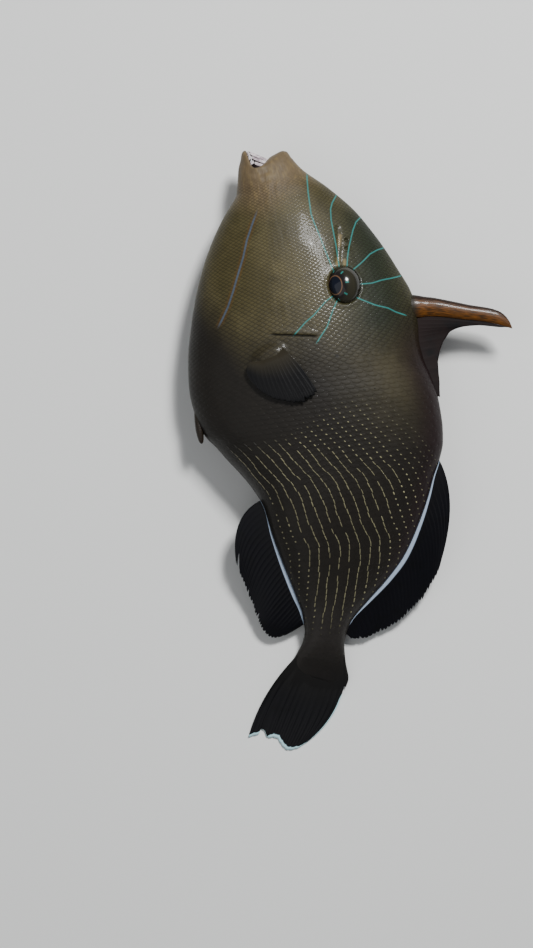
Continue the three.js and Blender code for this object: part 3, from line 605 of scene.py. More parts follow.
def tubes(name, grids, fields, unwrap=None):
    """Closed tubes of one size in one mesh, from points as (tube, ring, column, 3). A fan closes
    each end."""
    count, rings, columns = grids.shape[:3]
    index = np.arange(rings * columns).reshape(rings, columns)
    right = np.roll(index, -1, axis=1)
    centre = np.full(columns, rings * columns)
    quads = np.stack([index[:-1], index[1:], right[1:], right[:-1]], axis=-1).reshape(-1, 4)
    fans = np.concatenate([
        np.stack([centre, index[0], right[0]], axis=-1),
        np.stack([centre + 1, right[-1], index[-1]], axis=-1),
    ])
    first = np.arange(count)[:, None, None] * (rings * columns + 2)
    values = {key: closed(grid) for key, grid in fields.items()}
    flat_uv = None if unwrap is None else closed(unwrap)
    return build(
        name, closed(grids), (quads + first).reshape(-1, 4), (fans + first).reshape(-1, 3), values, flat_uv
    )


def tube(name, points, fields):
    """One closed tube."""
    return tubes(name, points[None], {key: grid[None] for key, grid in fields.items()})


def finish(piece, material, nodes=()):
    """Gives the piece its material, body and slot, and lets it stand for any nodes named."""
    piece.data.materials.append(material)
    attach(piece, "root")
    if nodes:
        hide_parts(*nodes)


# The lower pectoral fin lies in a hollow of the right flank, as an oval of this size.
HOLLOW = {"s": 78.0, "h": -3.4, "along": 11.2, "across": 12.2, "deep": 1.35}
FLOOR_GAP = 0.06
LINING_ROWS = (0.33, 0.37)


def resting(points):
    """Lifts what would lie under the table, or in the lower fin's hollow, up to its surface."""
    s, h, z = points[..., 0], points[..., 1], points[..., 2]
    sunk = HOLLOW["deep"] * (1 - step(oval(s, h, HOLLOW), 0.96, 1.06))
    lowest = FLOOR_GAP - FLANK_REST - droop(s) + sunk
    return np.concatenate([points[..., :2], np.maximum(z, lowest)[..., None]], axis=-1)


def skin_points():
    """The skin's shape with its relief along the normals, each point's level, and 1 on the rows inside the
    lips, where the shade in the mouth is painted near black."""
    points, station = skin_shape()
    rise = relief(points)
    level = np.where(station < BODY_START, points[..., 1], level_of(station, skin_angles()))
    share = np.arange(len(points))[:, None] / FRONT_ROWS
    return resting(points + normals(points) * rise[..., None]), level, 1 - step(share, *LINING_ROWS)


OLIVE = "#433d24"
OLIVE_LIGHT = "#524b30"
GREEN_OLIVE = "#1d2415"
TAN = "#5e503b"
SLATE = "#1b1814"
TAIL_BLACK = "#08080c"
RED_BROWN = "#1b0f11"
TEAL = "#2a726e"
CHEEK_BLUE = "#434d59"
CHEEK_ORANGE = "#553b18"
BARE_BROWN = "#15120f"
# Paler grey on the tail stalk, partly its own tone and partly a painted highlight
STALK_GREY_AND_SHEEN = "#2a2725"
# Painted shade inside the mouth, on the lips' inner rows and the tongue
MOUTH_SHADE = "#1c1212"
NET_DARK = "#16120c"
YELLOW_TAN = "#8a764c"
# Painted shade in the gill slit, the pore and the eye's socket
PAINTED_SHADE_BLACK = "#060606"
TEAL_WIDTH = 0.42
CHEEK_WIDTH = 0.62
CHEEK_FRINGE = 2.2
NET_EDGE = (0.16, 0.02)
ROW_EDGE = (0.10, 0.02)
LINE_BLUR = 0.12
# Each noise's features a metre, detail and stretch
SKIN_NOISES = {
    "blotch": (60, 4, (1, 1, 1)),
    "mottle": (240, 5, (1, 1, 1)),
    "speckle": (900, 2, (1, 1, 1)),
    "ripple": (420, 1, (1, 0.3, 1)),
    "crease": (800, 3, (1, 0.25, 1)),
}
SMOOTH = {"interpolation_type": "SMOOTHSTEP"}


def add(m, kind, values=(), **settings):
    """Adds a node and gives its outputs. The settings are its properties, and the values feed
    its input sockets, by name or in order."""
    node = m.node_tree.nodes.new("ShaderNode" + kind)
    for key, value in settings.items():
        setattr(node, key, value)
    feed(m, node, values if isinstance(values, dict) else dict(enumerate(values)))
    return node.outputs


def layered(m, colour, layers):
    """A linear colour under layers of (share, strength, hex colour), from the lowest up."""
    for share, strength, over in layers:
        amount = add(m, "Math", (share, strength), operation="MULTIPLY")[0]
        colour = add(m, "Mix", {0: amount, 6: colour, 7: linear(over)}, data_type="RGBA")[2]
    return colour


def line_mask(m, line, width):
    """1 within half the width of a line, from its signed distance and its mask."""
    away = add(m, "Math", [line[0]], operation="ABSOLUTE")[0]
    inside = add(m, "MapRange", (away, width / 2 + LINE_BLUR, width / 2 - LINE_BLUR), **SMOOTH)[0]
    return add(m, "Math", (inside, line[1]), operation="MULTIPLY")[0]


def cell_borders(m, cell, shift, edge):
    """1 on the borders of a lattice's cells, from its two counts and the lattice's mask."""
    across = add(m, "Math", (cell[1], shift), operation="ADD")[0]
    borders = [add(m, "Math", (count, 0.5), operation="PINGPONG")[0] for count in (cell[0], across)]
    nearest = add(m, "Math", borders, operation="MINIMUM")[0]
    border = add(m, "MapRange", (nearest, *edge), **SMOOTH)[0]
    return add(m, "Math", (border, cell[2]), operation="MULTIPLY")[0]


def skin_material():
    """Wet scaled hide: a thin clear film of mucus over small matt plates. The eye sees olive
    brown with a fine dark net on the head, slate on the trunk, and a soft wet sheen."""
    m, shader = new_material("wet scaled hide")
    where = add(m, "TexCoord")["Object"]
    noise = {}
    for name, (scale, detail, stretch) in SKIN_NOISES.items():
        stretched = add(m, "Mapping", {"Vector": where, "Scale": stretch})[0]
        noise[name] = add(m, "TexNoise", {"Vector": stretched, "Scale": scale, "Detail": detail})["Fac"]
    teal, cheek, rows, net, tone, more, ends = (
        add(m, "SeparateXYZ", [add(m, "Attribute", attribute_name=name)["Vector"]])
        for name in ("teal", "cheek", "rows", "net", "tone", "more", "ends")
    )
    red, dark, tan = tone
    green, patch, black = more
    blotches, creases = (
        add(m, "MapRange", span, **SMOOTH)[0]
        for span in ((noise["blotch"], 0.35, 0.65), (noise["crease"], 0.45, 0.7))
    )
    tan_creases = add(m, "Math", (creases, tan), operation="MULTIPLY")[0]
    colour = layered(m, linear(OLIVE), (
        (blotches, 1, OLIVE_LIGHT),
        (green, 1, GREEN_OLIVE),
        (tan, 1, TAN),
        (tan_creases, 0.25, YELLOW_TAN),
        (dark, 1, SLATE),
        (red, 1, RED_BROWN),
        (patch, 0.35, BARE_BROWN),
        (cell_borders(m, net, 0, NET_EDGE), 0.6, NET_DARK),
        (cell_borders(m, rows, 0.5, ROW_EDGE), 0.15, NET_DARK),
        # Painted highlight: pale yellow glints in the groove ahead of the eye.
        (teal[2], 0.7, YELLOW_TAN),
        (line_mask(m, cheek, CHEEK_FRINGE), 0.35, CHEEK_ORANGE),
        (line_mask(m, cheek, CHEEK_WIDTH), 1, CHEEK_BLUE),
        (line_mask(m, teal, TEAL_WIDTH), 1, TEAL),
        # Painted shade: near black in the gill slit, the pore and the eye's socket.
        (add(m, "Math", (black, cheek[2]), operation="MAXIMUM")[0], 1, PAINTED_SHADE_BLACK),
        # A paler tail stalk, partly its own grey and partly a painted highlight.
        (ends[2], 1, STALK_GREY_AND_SHEEN),
        (ends[0], 1, TAIL_BLACK),
        # Painted shade: the rows inside the lips are near black, as the mouth's inside is in shade.
        (ends[1], 1, MOUTH_SHADE),
    ))
    # The mottle and the speckle brighten the skin, and the blotches roughen it.
    mottled = add(m, "Math", (noise["mottle"], 0.5, 0.6), operation="MULTIPLY_ADD")[0]
    bright = add(m, "Math", (noise["speckle"], 0.3, mottled), operation="MULTIPLY_ADD")[0]
    rough = add(m, "Math", (noise["blotch"], 0.15, 0.42), operation="MULTIPLY_ADD")[0]
    # Ripples lie under a fine grain, and under creases where the skin is tan.
    grain = add(m, "Math", (noise["speckle"], 0.25, noise["ripple"]), operation="MULTIPLY_ADD")[0]
    wrinkle = add(m, "Math", (tan, noise["crease"]), operation="MULTIPLY")[0]
    height = add(m, "Math", (wrinkle, 2, grain), operation="MULTIPLY_ADD")[0]
    feed(m, shader, {
        "Base Color": add(m, "HueSaturation", {"Color": colour, "Value": bright})["Color"],
        "Roughness": rough,
        "Normal": add(m, "Bump", {"Height": height, "Strength": 0.5, "Distance": 0.00022})[0],
        "Coat Weight": 0.09,
        "Coat Roughness": 0.09,
        "Specular IOR Level": 0.2,
    })
    return m


hide = skin_material()
points, level, lining = skin_points()
skin = tube("skin", points, marking_fields(points, level, lining))
finish(skin, hide, ["head", "trunk", "tail_stalk"])

# Scales: thousands of small bony plates, lying side by side like tiles, with each rear edge a
# little proud. They are rhombs in slanting rows on the head and chest, and long on the rear body.
PLATE_SIDES = 8
PLATE_RINGS = np.array([(1.0, -0.12), (0.985, -0.004), (0.85, 0.009), (0.4, 0.014)])
PLATE_TILT = 0.012
UNWRAP_PATCH = 0.0015
UNWRAP_EDGE = 0.02
UNWRAP_LENGTH = 200
# How far the scales stay off each feature, the eye's as a share of its half sizes
BARE = {"eye": 1.17, "groove": 1.1, "slit": 0.8, "edge": 0.8, "nostril": 1.5}
SCALED_FROM = 17
SCALED_TO = 176
SIDES = {"left": 1, "right": -1}


def full_turn(count):
    """Even angles round a closed ring."""
    return np.linspace(0, 2 * np.pi, count, endpoint=False)


def on_flank(seen_s, seen_level, side):
    """Station and angle of the place that looks to be at seen_s and seen_level, on the left
    flank or mirrored on the right: the height found there corrects both in three rounds."""
    s, level = seen_s, seen_level
    for _ in range(3):
        top = np.interp(s, map_s, LEVEL[:, 0])
        bottom = np.interp(s, map_s, LEVEL[:, -1])
        angle = lookup(TURN, s, (top - level) / (top - bottom))
        scale = camera_scale(s, section(s, angle)[..., 2])
        s = AXIS_S + (seen_s - AXIS_S) / scale
        level = AXIS_H + (seen_level - AXIS_H) / scale
    inside = np.minimum(top - level, level - bottom)
    return s, (angle if side > 0 else 2 * np.pi - angle), level, inside


def over_skin(s, angle, rise):
    """A point of the skin with its relief, raised along the normal by rise."""
    point = section(s, angle)
    normal = np.cross(section(s, angle + 0.005) - point, section(s + 0.05, angle) - point)
    normal = normal / np.maximum(np.linalg.norm(normal, axis=-1, keepdims=True), 1e-12)
    return point + normal * (rise + relief(point))[..., None]


def unwrapped(s, angle, offset):
    """A small patch of the unwrap at the place's station and angle."""
    share = np.stack([s / UNWRAP_LENGTH, angle / (2 * np.pi)], axis=-1)
    root = UNWRAP_EDGE + (1 - 2 * UNWRAP_EDGE) * share
    return root[:, None, None, :] + UNWRAP_PATCH * offset[None]


def clear_of_features(s, level, side):
    """Where scales can grow: off the eye and the groove ahead of it, the gill slit, the nostrils
    and the sharp edges of the back and the belly."""
    eye = oval(s, level, EYE_SEEN)
    groove = signed_distance(s, level, EYE_GROOVE)[0]
    body_s, _, body_level, inside = on_flank(s, level, side)
    slit, window = gill_slit(body_s, body_level)
    grows = (eye > BARE["eye"]) & (groove > BARE["groove"]) & (inside > BARE["edge"])
    grows &= np.abs(slit) > BARE["slit"] * window
    for at in NOSTRILS:
        grows &= np.hypot(s - at[0], level - at[1]) > BARE["nostril"]
    return grows


def off_table(points):
    """Which pieces lie clear of the table and of the lower fin's hollow."""
    return (points[..., 2] > resting(points)[..., 2] - 0.01).all(axis=(1, 2))


def plates(name, cells, to_place, half, tail_way, side):
    """Closed domed plates on cells of a lattice. Each ring of a plate is a square with its
    corners rounded by (|cos| ** 3 + |sin| ** 3) ** (-1 / 3)."""
    turn = full_turn(PLATE_SIDES) + np.pi / PLATE_SIDES
    round_off = (np.abs(np.cos(turn)) ** 3 + np.abs(np.sin(turn)) ** 3) ** (-1 / 3)
    corner = np.stack([np.cos(turn), np.sin(turn)], axis=-1) * round_off[:, None]
    offset = PLATE_RINGS[:, :1, None] * corner[None]
    cell = cells[:, None, None, :] + half * offset[None]
    s, angle, level, _ = on_flank(*to_place(cell[..., 0], cell[..., 1]), side)
    rise = PLATE_RINGS[:, 1, None] + PLATE_TILT * (offset @ tail_way)
    points = over_skin(s, angle, np.broadcast_to(rise, s.shape))
    kept = off_table(points)
    points, s, angle, level = points[kept], s[kept], angle[kept], level[kept]
    patch = unwrapped(s[:, 0].mean(axis=-1), angle[:, 0].mean(axis=-1), offset)
    finish(tubes(name, points, marking_fields(points, level), patch), hide)


def lattice(first, last, low, high):
    """Centres of the cells between two pairs of counts."""
    a, b = np.meshgrid(np.arange(first, last) + 0.5, np.arange(low, high) + 0.5, indexing="ij")
    return np.stack([a.ravel(), b.ravel()], axis=-1)


# Each lattice's cells, its shift across, its places, a plate's half size and its way to the tail
LATTICES = {
    "head_scales_": ((0, 110, -60, 130), 0, head_place, 0.45, (0.7, 0.7)),
    "body_scales_": ((0, 70, -14, 22), 0.5, rear_place, 0.465, (1.0, 0)),
}
for name, side in SIDES.items():
    for kind, (span, shift, to_place, half, tail_way) in LATTICES.items():
        cells = lattice(*span) - np.array([0, shift])
        s, level = to_place(cells[:, 0], cells[:, 1])
        on_rear = rear_share(s, level) >= 0.5
        grows = clear_of_features(s, level, side) & (s > SCALED_FROM) & (s < SCALED_TO)
        grows &= on_rear == (to_place is rear_place)
        plates(kind + name, cells[grows], to_place, half, np.array(tail_way), side)

# Keels: each scale of the rear body bears a pale central keel. They are short and stand as
# dots at the front, and lengthen and join into wavy lines towards the tail.
KEEL_RINGS = 7
KEEL_SIDES = 6
KEEL_FRONT = curve([(-16, 99.5), (-5, 97.5), (5, 92), (15, 88), (30, 85), (45, 85)])
LINE_END = curve([
    (-5, 118), (-4, 128), (-3, 144), (-2, 157), (-1, 163), (0, 165), (1, 162), (2, 157), (3, 152),
    (4, 146), (5, 138), (6, 129), (7, 122), (8, 119), (9, 100),
])
KEEL_ROWS = (-5, 14)
KEEL_END = 167
KEEL_SEED = 21
KEEL_GAPS = 0.03
KEEL_SCATTER = (0.03, 0.014)
# Each sine's height in rows, and its turns by the counts along and across the rows
KEEL_WANDER = ((0.06, 0.9, 2.1), (0.03, 2.3, 0.8))
KEEL_LIFT = 0.05
KEEL_HIGH = 0.12
DOT_HALF = (0.15, 0.29)
LINE_HALF = (0.52, 0.18)


def between(ends, share):
    """The first of two values turned into the second by a share."""
    return ends[0] + (ends[1] - ends[0]) * share


def keels(name, side):
    """Tapered ridges along the rows. Each one's place, length, width and paleness vary a
    little, and the rows wander by a slow sum of sines."""
    rng = np.random.default_rng(KEEL_SEED)
    cells = lattice(0, 70, KEEL_ROWS[0], KEEL_ROWS[1]) - np.array([0, 0.5])
    s, level = rear_place(cells[:, 0], cells[:, 1])
    row = cells[:, 1]
    inside = on_flank(s, level, side)[3]
    lines = step(s, 96 + 1.5 * row, 103 + 1.5 * row) * (1 - step(s, LINE_END(row) - 2, LINE_END(row) + 2))
    start = step(s - KEEL_FRONT(level), -1, 7)
    edge = step(inside, 1, 8) * (1 - step(row, 8, 13)) * step(row, -8, -1)
    paleness = start * (0.25 + 0.75 * edge) * (1 - step(s, 158, KEEL_END + 1)) * (1 - 0.25 * lines)
    kept = (start > 0.02) & (inside > 1.2) & (s < KEEL_END) & (rng.random(len(s)) > KEEL_GAPS)
    cells, lines, paleness, row = cells[kept], lines[kept], paleness[kept], row[kept]
    count = len(cells)
    cells = cells + rng.normal(0, 1, (count, 2)) * KEEL_SCATTER
    for high, along_turn, row_turn in KEEL_WANDER:
        cells[:, 1] += high * np.sin(cells[:, 0] * along_turn + row * row_turn) * lines
    x = np.linspace(-1, 1, KEEL_RINGS)[None, :, None]
    turn = full_turn(KEEL_SIDES)[None, None, :]
    reach = between((DOT_HALF[0], LINE_HALF[0]), lines) + rng.uniform(-0.03, 0.02, count)
    wide = between((DOT_HALF[1], LINE_HALF[1]), lines) + rng.uniform(-0.03, 0.03, count)
    reach, wide = reach[:, None, None], wide[:, None, None]
    taper = np.sqrt(np.clip(1.02 - np.abs(x) ** (2 + 2 * lines[:, None, None]), 0, 1))
    along = cells[:, :1, None] + reach * x + 0 * turn
    spacing = ROW_SPACING(rear_place(along, 0 * along)[0])
    across = cells[:, 1:, None] + wide * taper * np.cos(turn) / spacing
    s, angle, level, _ = on_flank(*rear_place(along, across), side)
    points = over_skin(s, angle, KEEL_LIFT + KEEL_HIGH * taper * np.sin(turn))
    clear = off_table(points)
    pale = np.broadcast_to(paleness[:, None, None, None], points.shape)
    offset = np.stack([x[0] + 0 * turn[0], np.cos(turn[0]) + 0 * x[0]], axis=-1)
    patch = unwrapped(s[clear, 0].mean(axis=-1), angle[clear, 0].mean(axis=-1), offset)
    return tubes(name, points[clear], {"keel": pale[clear]}, patch)


def keel_material():
    """Bare, unpolished scale: the eye sees pale yellow-grey, worn unevenly and dark where faint."""
    m, shader = new_material("pale keel")
    where = add(m, "TexCoord")["Object"]
    cloud = add(m, "TexNoise", {"Vector": where, "Scale": 500, "Detail": 2})["Fac"]
    worn = add(m, "MapRange", (cloud, 0.3, 0.7, 0.65, 1), **SMOOTH)[0]
    keel = add(m, "SeparateXYZ", [add(m, "Attribute", attribute_name="keel")["Vector"]])
    feed(m, shader, {
        "Base Color": layered(m, linear("#171512"), [(keel[0], worn, "#8f8a6a")]),
        "Roughness": 0.5,
        "Specular IOR Level": 0.3,
    })
    return m


pale_keel = keel_material()
for name, side in SIDES.items():
    finish(keels("keels_" + name, side), pale_keel)

# Eyes: balls of clear cornea over a painted iris, sunk deep in the head. Each looks a little
# towards the belly, as a limp eye does, and a ring of dark skin-coloured sclera shows round it.
GAZE = (-0.05, -0.588, 0.808)
STROKE_SPACING = 0.84
STROKE_RING = 46
EYE_ROWS = 90
EYE_COLUMNS = 96


def eye_points(side):
    """A ball drawn in rings round its gaze: each point is the centre plus its direction times
    the half sizes. Returns the points, and each one's angle from the gaze and its turn."""
    angle = np.linspace(0.01, np.pi - 0.01, EYE_ROWS)[:, None]
    turn = full_turn(EYE_COLUMNS)[None, :]
    gaze = Vector(GAZE).normalized()
    up = gaze.cross(Vector((1, 0, 0))).normalized()
    along = up.cross(gaze)
    ring = np.cos(turn)[..., None] * np.array(along) + np.sin(turn)[..., None] * np.array(up)
    direction = np.cos(angle)[..., None] * np.array(gaze) + np.sin(angle)[..., None] * ring
    centre = np.array([EYE["s"], EYE["h"], flank(EYE["s"], EYE["h"]) + EYE["proud"] - EYE["out"]])
    points = centre + direction * np.array([EYE["along"], EYE["across"], EYE["out"]])
    points[..., 2] *= side
    degrees = np.degrees(angle) + 0 * turn
    return points, np.stack([degrees, turn + 0 * angle, 0 * degrees], axis=-1)


def eye_material():
    """A wet eye under a clear dome: a black pupil tinted blue as a painted reflection, a thin gold ring,
    and a dark iris that turns into olive sclera with short blue-green strokes."""
    m, shader = new_material("wet cornea over a painted iris")
    gaze = add(m, "SeparateXYZ", [add(m, "Attribute", attribute_name="gaze")["Vector"]])
    bands = add(m, "ValToRGB", [add(m, "MapRange", (gaze[0], 0, 90))[0]])
    # The pupil's blue tint is a painted reflection.
    stops = (
        (0.0, "#0a1120"), (0.285, "#090e1a"), (0.30, "#75563c"), (0.32, "#5c4330"),
        (0.34, "#171114"), (0.45, "#1a1815"), (0.56, "#27251c"), (0.78, "#29271c"), (1.0, "#14130d"),
    )
    elements = bands["Color"].node.color_ramp.elements
    while len(elements) < len(stops):
        elements.new(0.5)
    for element, (at, colour) in zip(elements, stops):
        element.position = at
        element.color = linear(colour)
    # Strokes lie evenly on a ring round the iris, spaced in radians and placed in degrees.
    from_stroke = add(m, "Math", (gaze[1], STROKE_SPACING / 2), operation="PINGPONG")[0]
    off_ring = add(m, "Math", (gaze[0], STROKE_RING), operation="SUBTRACT")[0]
    from_ring = add(m, "Math", [off_ring], operation="ABSOLUTE")[0]
    stroke, ring = (
        add(m, "MapRange", span, **SMOOTH)[0] for span in ((from_stroke, 0.09, 0.03), (from_ring, 7, 4.5))
    )
    flecks = add(m, "Math", (stroke, ring), operation="MULTIPLY")[0]
    feed(m, shader, {
        "Base Color": layered(m, bands["Color"], [(flecks, 0.8, "#2b7f76")]),
        "Roughness": 0.2,
        "Coat Weight": 0.55,
        "Coat Roughness": 0.02,
        "Specular IOR Level": 0.2,
    })
    return m


wet_eye = eye_material()
for name, side in SIDES.items():
    points, gaze = eye_points(side)
    finish(tube("eye_" + name, points, {"gaze": gaze}), wet_eye, ["eye_" + name])

# Teeth: eight chisels in each jaw, white enamel that is worn and a little stained, set close
# together in a low pink gum. They lean forwards out of the mouth.
TEETH = {
    "upper": {"root": (2.6, -1.5), "edge": (-4.3, 2.3), "lean": 4.4, "front": 5.0, "half": 3.6,
              "depth": 3.6, "width": 1.36},
    "lower": {"root": (-5.8, 1.2), "edge": (-4.5, 2.3), "lean": 1.7, "front": 2.4, "half": 3.4,
              "depth": 4.8, "width": 1.3},
}
TEETH_IN_ROW = 8
ARCH_SPREAD = np.radians(80)
TOOTH = {"narrowing": 0.1, "thick": 1.25, "edge_thick": 0.5, "corner": 0.6, "rings": 14, "sides": 24}
GUM = {"half": 0.75, "rings": 40, "sides": 16}


def arch(row, angle, lean):
    """A place on a jaw's arch at an angle from its middle, as s and z."""
    return row["front"] + row["depth"] * (1 - np.cos(angle)) - lean, row["half"] * np.sin(angle)


def climbing(ends, angle):
    """A height that changes from the arch's middle towards its ends by 1 - cos(angle)."""
    return ends[0] + ends[1] * (1 - np.cos(angle))


def tooth(row, angle):
    """One chisel: rounded rectangles from the root to the cutting edge, where a power of
    |cos| and |sin| rounds the corners and the last rings draw in."""
    t = np.linspace(0, 1, TOOTH["rings"])[:, None]
    turn = full_turn(TOOTH["sides"])[None, :]
    across = np.sign(np.cos(turn)) * np.abs(np.cos(turn)) ** TOOTH["corner"]
    deep = np.sign(np.sin(turn)) * np.abs(np.sin(turn)) ** TOOTH["corner"]
    end = np.sqrt(np.clip(1 - step(t, 0.9, 1.04) ** 2, 0, 1))
    half = row["width"] / 2 * (1 - TOOTH["narrowing"] * t) * end
    thick = (TOOTH["thick"] * (1 - t) + TOOTH["edge_thick"] * t) / 2 * end
    s, z = arch(row, angle, row["lean"] * t * (0.25 + 0.75 * np.cos(angle)))
    root, edge = climbing(row["root"], angle), climbing(row["edge"], angle)
    return np.stack([
        s + across * half * np.sin(angle) - deep * thick * np.cos(angle),
        root + (edge - root) * t + 0 * turn,
        z + across * half * np.cos(angle) + deep * thick * np.sin(angle),
    ], axis=-1)


def enamel_material():
    """Polished enamel, worn: the eye sees glossy cream white with a lilac-pink stain in patches."""
    m, shader = new_material("worn enamel")
    where = add(m, "TexCoord")["Object"]
    stain, pits = (
        add(m, "TexNoise", {"Vector": where, "Scale": scale, "Detail": detail})["Fac"]
        for scale, detail in ((650, 3), (1400, 2))
    )
    stained = add(m, "MapRange", (stain, 0.4, 0.68), **SMOOTH)[0]
    feed(m, shader, {
        "Base Color": layered(m, linear("#d6ccce"), [(stained, 1, "#8b7882")]),
        "Roughness": 0.25,
        "Coat Weight": 0.4,
        "Coat Roughness": 0.05,
        "Normal": add(m, "Bump", {"Height": pits, "Strength": 0.4, "Distance": 0.0001})[0],
    })
    return m


enamel = enamel_material()
# Smooth wet flesh, seen as a dull pink band with a soft gloss
gum_flesh, gum_shader = new_material("wet gum")
feed(gum_flesh, gum_shader, {
    "Base Color": linear("#7a5552"), "Roughness": 0.35, "Coat Weight": 0.4, "Coat Roughness": 0.1,
})
for name, row in TEETH.items():
    angles = ARCH_SPREAD * (2 * (np.arange(TEETH_IN_ROW) + 0.5) / TEETH_IN_ROW - 1)
    chisels = np.stack([tooth(row, angle) for angle in angles])
    finish(tubes(name + "_teeth", chisels, {}), enamel, [name + "_teeth"])
    along = np.linspace(-ARCH_SPREAD, ARCH_SPREAD, GUM["rings"])[:, None]
    turn = full_turn(GUM["sides"])[None, :]
    half = GUM["half"] * np.sqrt(np.clip(1 - (along / along.max()) ** 6, 0.05, 1))
    s, z = arch(row, along, 0.1 * row["lean"])
    gum_points = np.stack([
        s - half * np.sin(turn) * np.cos(along),
        climbing(row["root"], along) + half * np.cos(turn),
        z + half * np.sin(turn) * np.sin(along),
    ], axis=-1)
    finish(tube(name + "_gum", gum_points, {}), gum_flesh)

# The tongue: a short, thick pad of muscle, grown to the floor of the mouth, that fills it behind the
# teeth. It is painted near black as the shade inside the mouth.
TONGUE = {"s": 7.4, "h": -1.6, "along": 4.2, "across": 3.4, "out": 3.9, "rings": 40, "sides": 48}
tilt = np.linspace(0.02, np.pi - 0.02, TONGUE["rings"])[:, None]
turn = full_turn(TONGUE["sides"])[None, :]
tongue_points = np.stack([
    TONGUE["s"] - TONGUE["along"] * np.cos(tilt) + 0 * turn,
    TONGUE["h"] + TONGUE["across"] * np.sin(tilt) * np.cos(turn),
    TONGUE["out"] * np.sin(tilt) * np.sin(turn),
], axis=-1)
# Moist lining, painted as a dull brown-black shade inside the mouth behind the teeth
mouth_shade_paint, mouth_shade_shader = new_material("wet mouth lining in painted shade")
feed(mouth_shade_paint, mouth_shade_shader, {
    "Base Color": linear(MOUTH_SHADE), "Roughness": 0.6, "Specular IOR Level": 0.25,
})
finish(tube("tongue", tongue_points, {}), mouth_shade_paint)

# Fins: thin black skin stretched over soft jointed rays that fork towards their tips. The free
# edge is scalloped between the rays and a little torn, and each fin sags under its own weight.
RAY_COLUMNS = 8
FORK = 0.24
RAY_WIDTH = 0.13
JOINTS_PER_MM = 1.6
NO_STRIPE = 9.0


def sheet(name, top, bottom, fields):
    """A closed sheet from two grids of points, its upper and lower faces, joined all round."""
    columns, rows = top.shape[:2]
    upper = np.arange(columns * rows).reshape(columns, rows)
    lower = upper + columns * rows

    def quads(*corners):
        return np.stack(corners, axis=-1).reshape(-1, 4)

    faces = np.concatenate([
        quads(upper[:-1, :-1], upper[:-1, 1:], upper[1:, 1:], upper[1:, :-1]),
        quads(lower[:-1, :-1], lower[1:, :-1], lower[1:, 1:], lower[:-1, 1:]),
        quads(upper[:-1, 0], upper[1:, 0], lower[1:, 0], lower[:-1, 0]),
        quads(upper[:-1, -1], lower[:-1, -1], lower[1:, -1], upper[1:, -1]),
        quads(upper[0, :-1], lower[0, :-1], lower[0, 1:], upper[0, 1:]),
        quads(upper[-1, :-1], upper[-1, 1:], lower[-1, 1:], lower[-1, :-1]),
    ])
    both = np.concatenate([top.reshape(-1, 3), bottom.reshape(-1, 3)])
    values = {key: np.concatenate([grid.reshape(-1, 3)] * 2) for key, grid in fields.items()}
    return build(name, both, faces, np.empty((0, 3), int), values)


def fin_grid(fin):
    """Shares across and along the fin, and how far each point stands on a ray: a bell of its
    distance from the ray's two forks."""
    last = fin["rays"] - 1
    x = np.linspace(0, last, last * RAY_COLUMNS + 1)[:, None]
    r = np.linspace(0, 1, fin["rows"])[None, :]
    away = np.abs(x - np.round(x))
    fork = FORK * step(r, fin["fork_from"], 1.0)
    ray = bell(away - fork, RAY_WIDTH)
    uneven = np.random.default_rng(fin["seed"]).normal(0, fin["uneven"], last + 1)
    reach = 1 + np.interp(x, np.arange(last + 1), uneven) - fin["scallop"] * step(away, 0.2, 0.5)
    for at, depth, half_width in fin["tears"]:
        reach = reach - depth * (1 - step(np.abs(x - at), 0, half_width))
    along = r * (1 + (reach - 1) * r**4)
    return x / last, along, ray


def fin_line(fin, t, r):
    """(s, h) at shares t and r: straight from root to tip, bowed by 4r(1 - r)."""
    root, tip, bow = fin["root"](t[:, 0]), fin["tip"](t[:, 0]), fin["bow"](t[:, 0])
    arch_share = (4 * r * (1 - r))[..., None]
    return root[:, None] + (tip - root)[:, None] * r[..., None] + bow[:, None] * arch_share


def fin_fields(fin, flat, t, r, ray):
    """What a fin's colours need: its stripe and margin as shares of their widths, and each
    place along its rays as a share and in millimetres."""
    s, h = flat[..., 0], flat[..., 1]
    outline = fin.get("outline")
    stripe = np.full(s.shape, NO_STRIPE)
    if outline:
        outside = (h - outline(s)) * fin["outward"]
        slope = (outline(s + 1) - outline(s - 1)) / 2
        stripe = outside / np.sqrt(1 + slope**2) / np.maximum(fin["stripe"](s), 0.01)
    length = np.linalg.norm(fin["tip"](t[:, 0]) - fin["root"](t[:, 0]), axis=-1)[:, None]
    margin = (r.max(axis=1, keepdims=True) - r) * length / np.maximum(fin["margin"](t), 0.01)
    if "last_edge" in fin:
        from_last = (1 - t) * fin["last_edge"]["across"] / fin["last_edge"]["margin"]
        margin = np.minimum(margin, from_last + 2 * (1 - step(r, 0.3, 0.45)))
    marks = np.stack([stripe, margin, r], axis=-1)
    rays = np.stack([r * length, ray, 0 * ray], axis=-1)
    return {"marks": marks, "rays": rays}


def fin_piece(name, fin, grid, flat, middle, half, material):
    """The fin's closed sheet, half thick to each side of its middle height."""
    top, bottom = (np.concatenate([flat, (middle + way * half)[..., None]], axis=-1) for way in (1, -1))
    finish(sheet(name, top, bottom, fin_fields(fin, flat, *grid)), material, [name])


def median_fin(name, fin, material):
    """A fin in the middle plane: half the membrane's thickness plus the ray's to each side, and
    a gentle wave that grows towards the free edge."""
    grid = fin_grid(fin)
    t, r, ray = grid
    wave = fin["wave"] * r**2 * np.sin(2 * np.pi * (fin["waves"] * t + 0.15))
    thick = between(fin["membrane"], np.sqrt(r)) * (1 - 0.75 * step(r, 0.97, 1.0))
    ridge = between(fin["ridge"], r) * step(r, *fin["rays_from"])
    half = thick / 2 + ridge * ray + fin["fillet"] * bell(r, 0.36)
    fin_piece(name, fin, grid, fin_line(fin, t, r), wave - fin["sag"] * r * r, half, material)


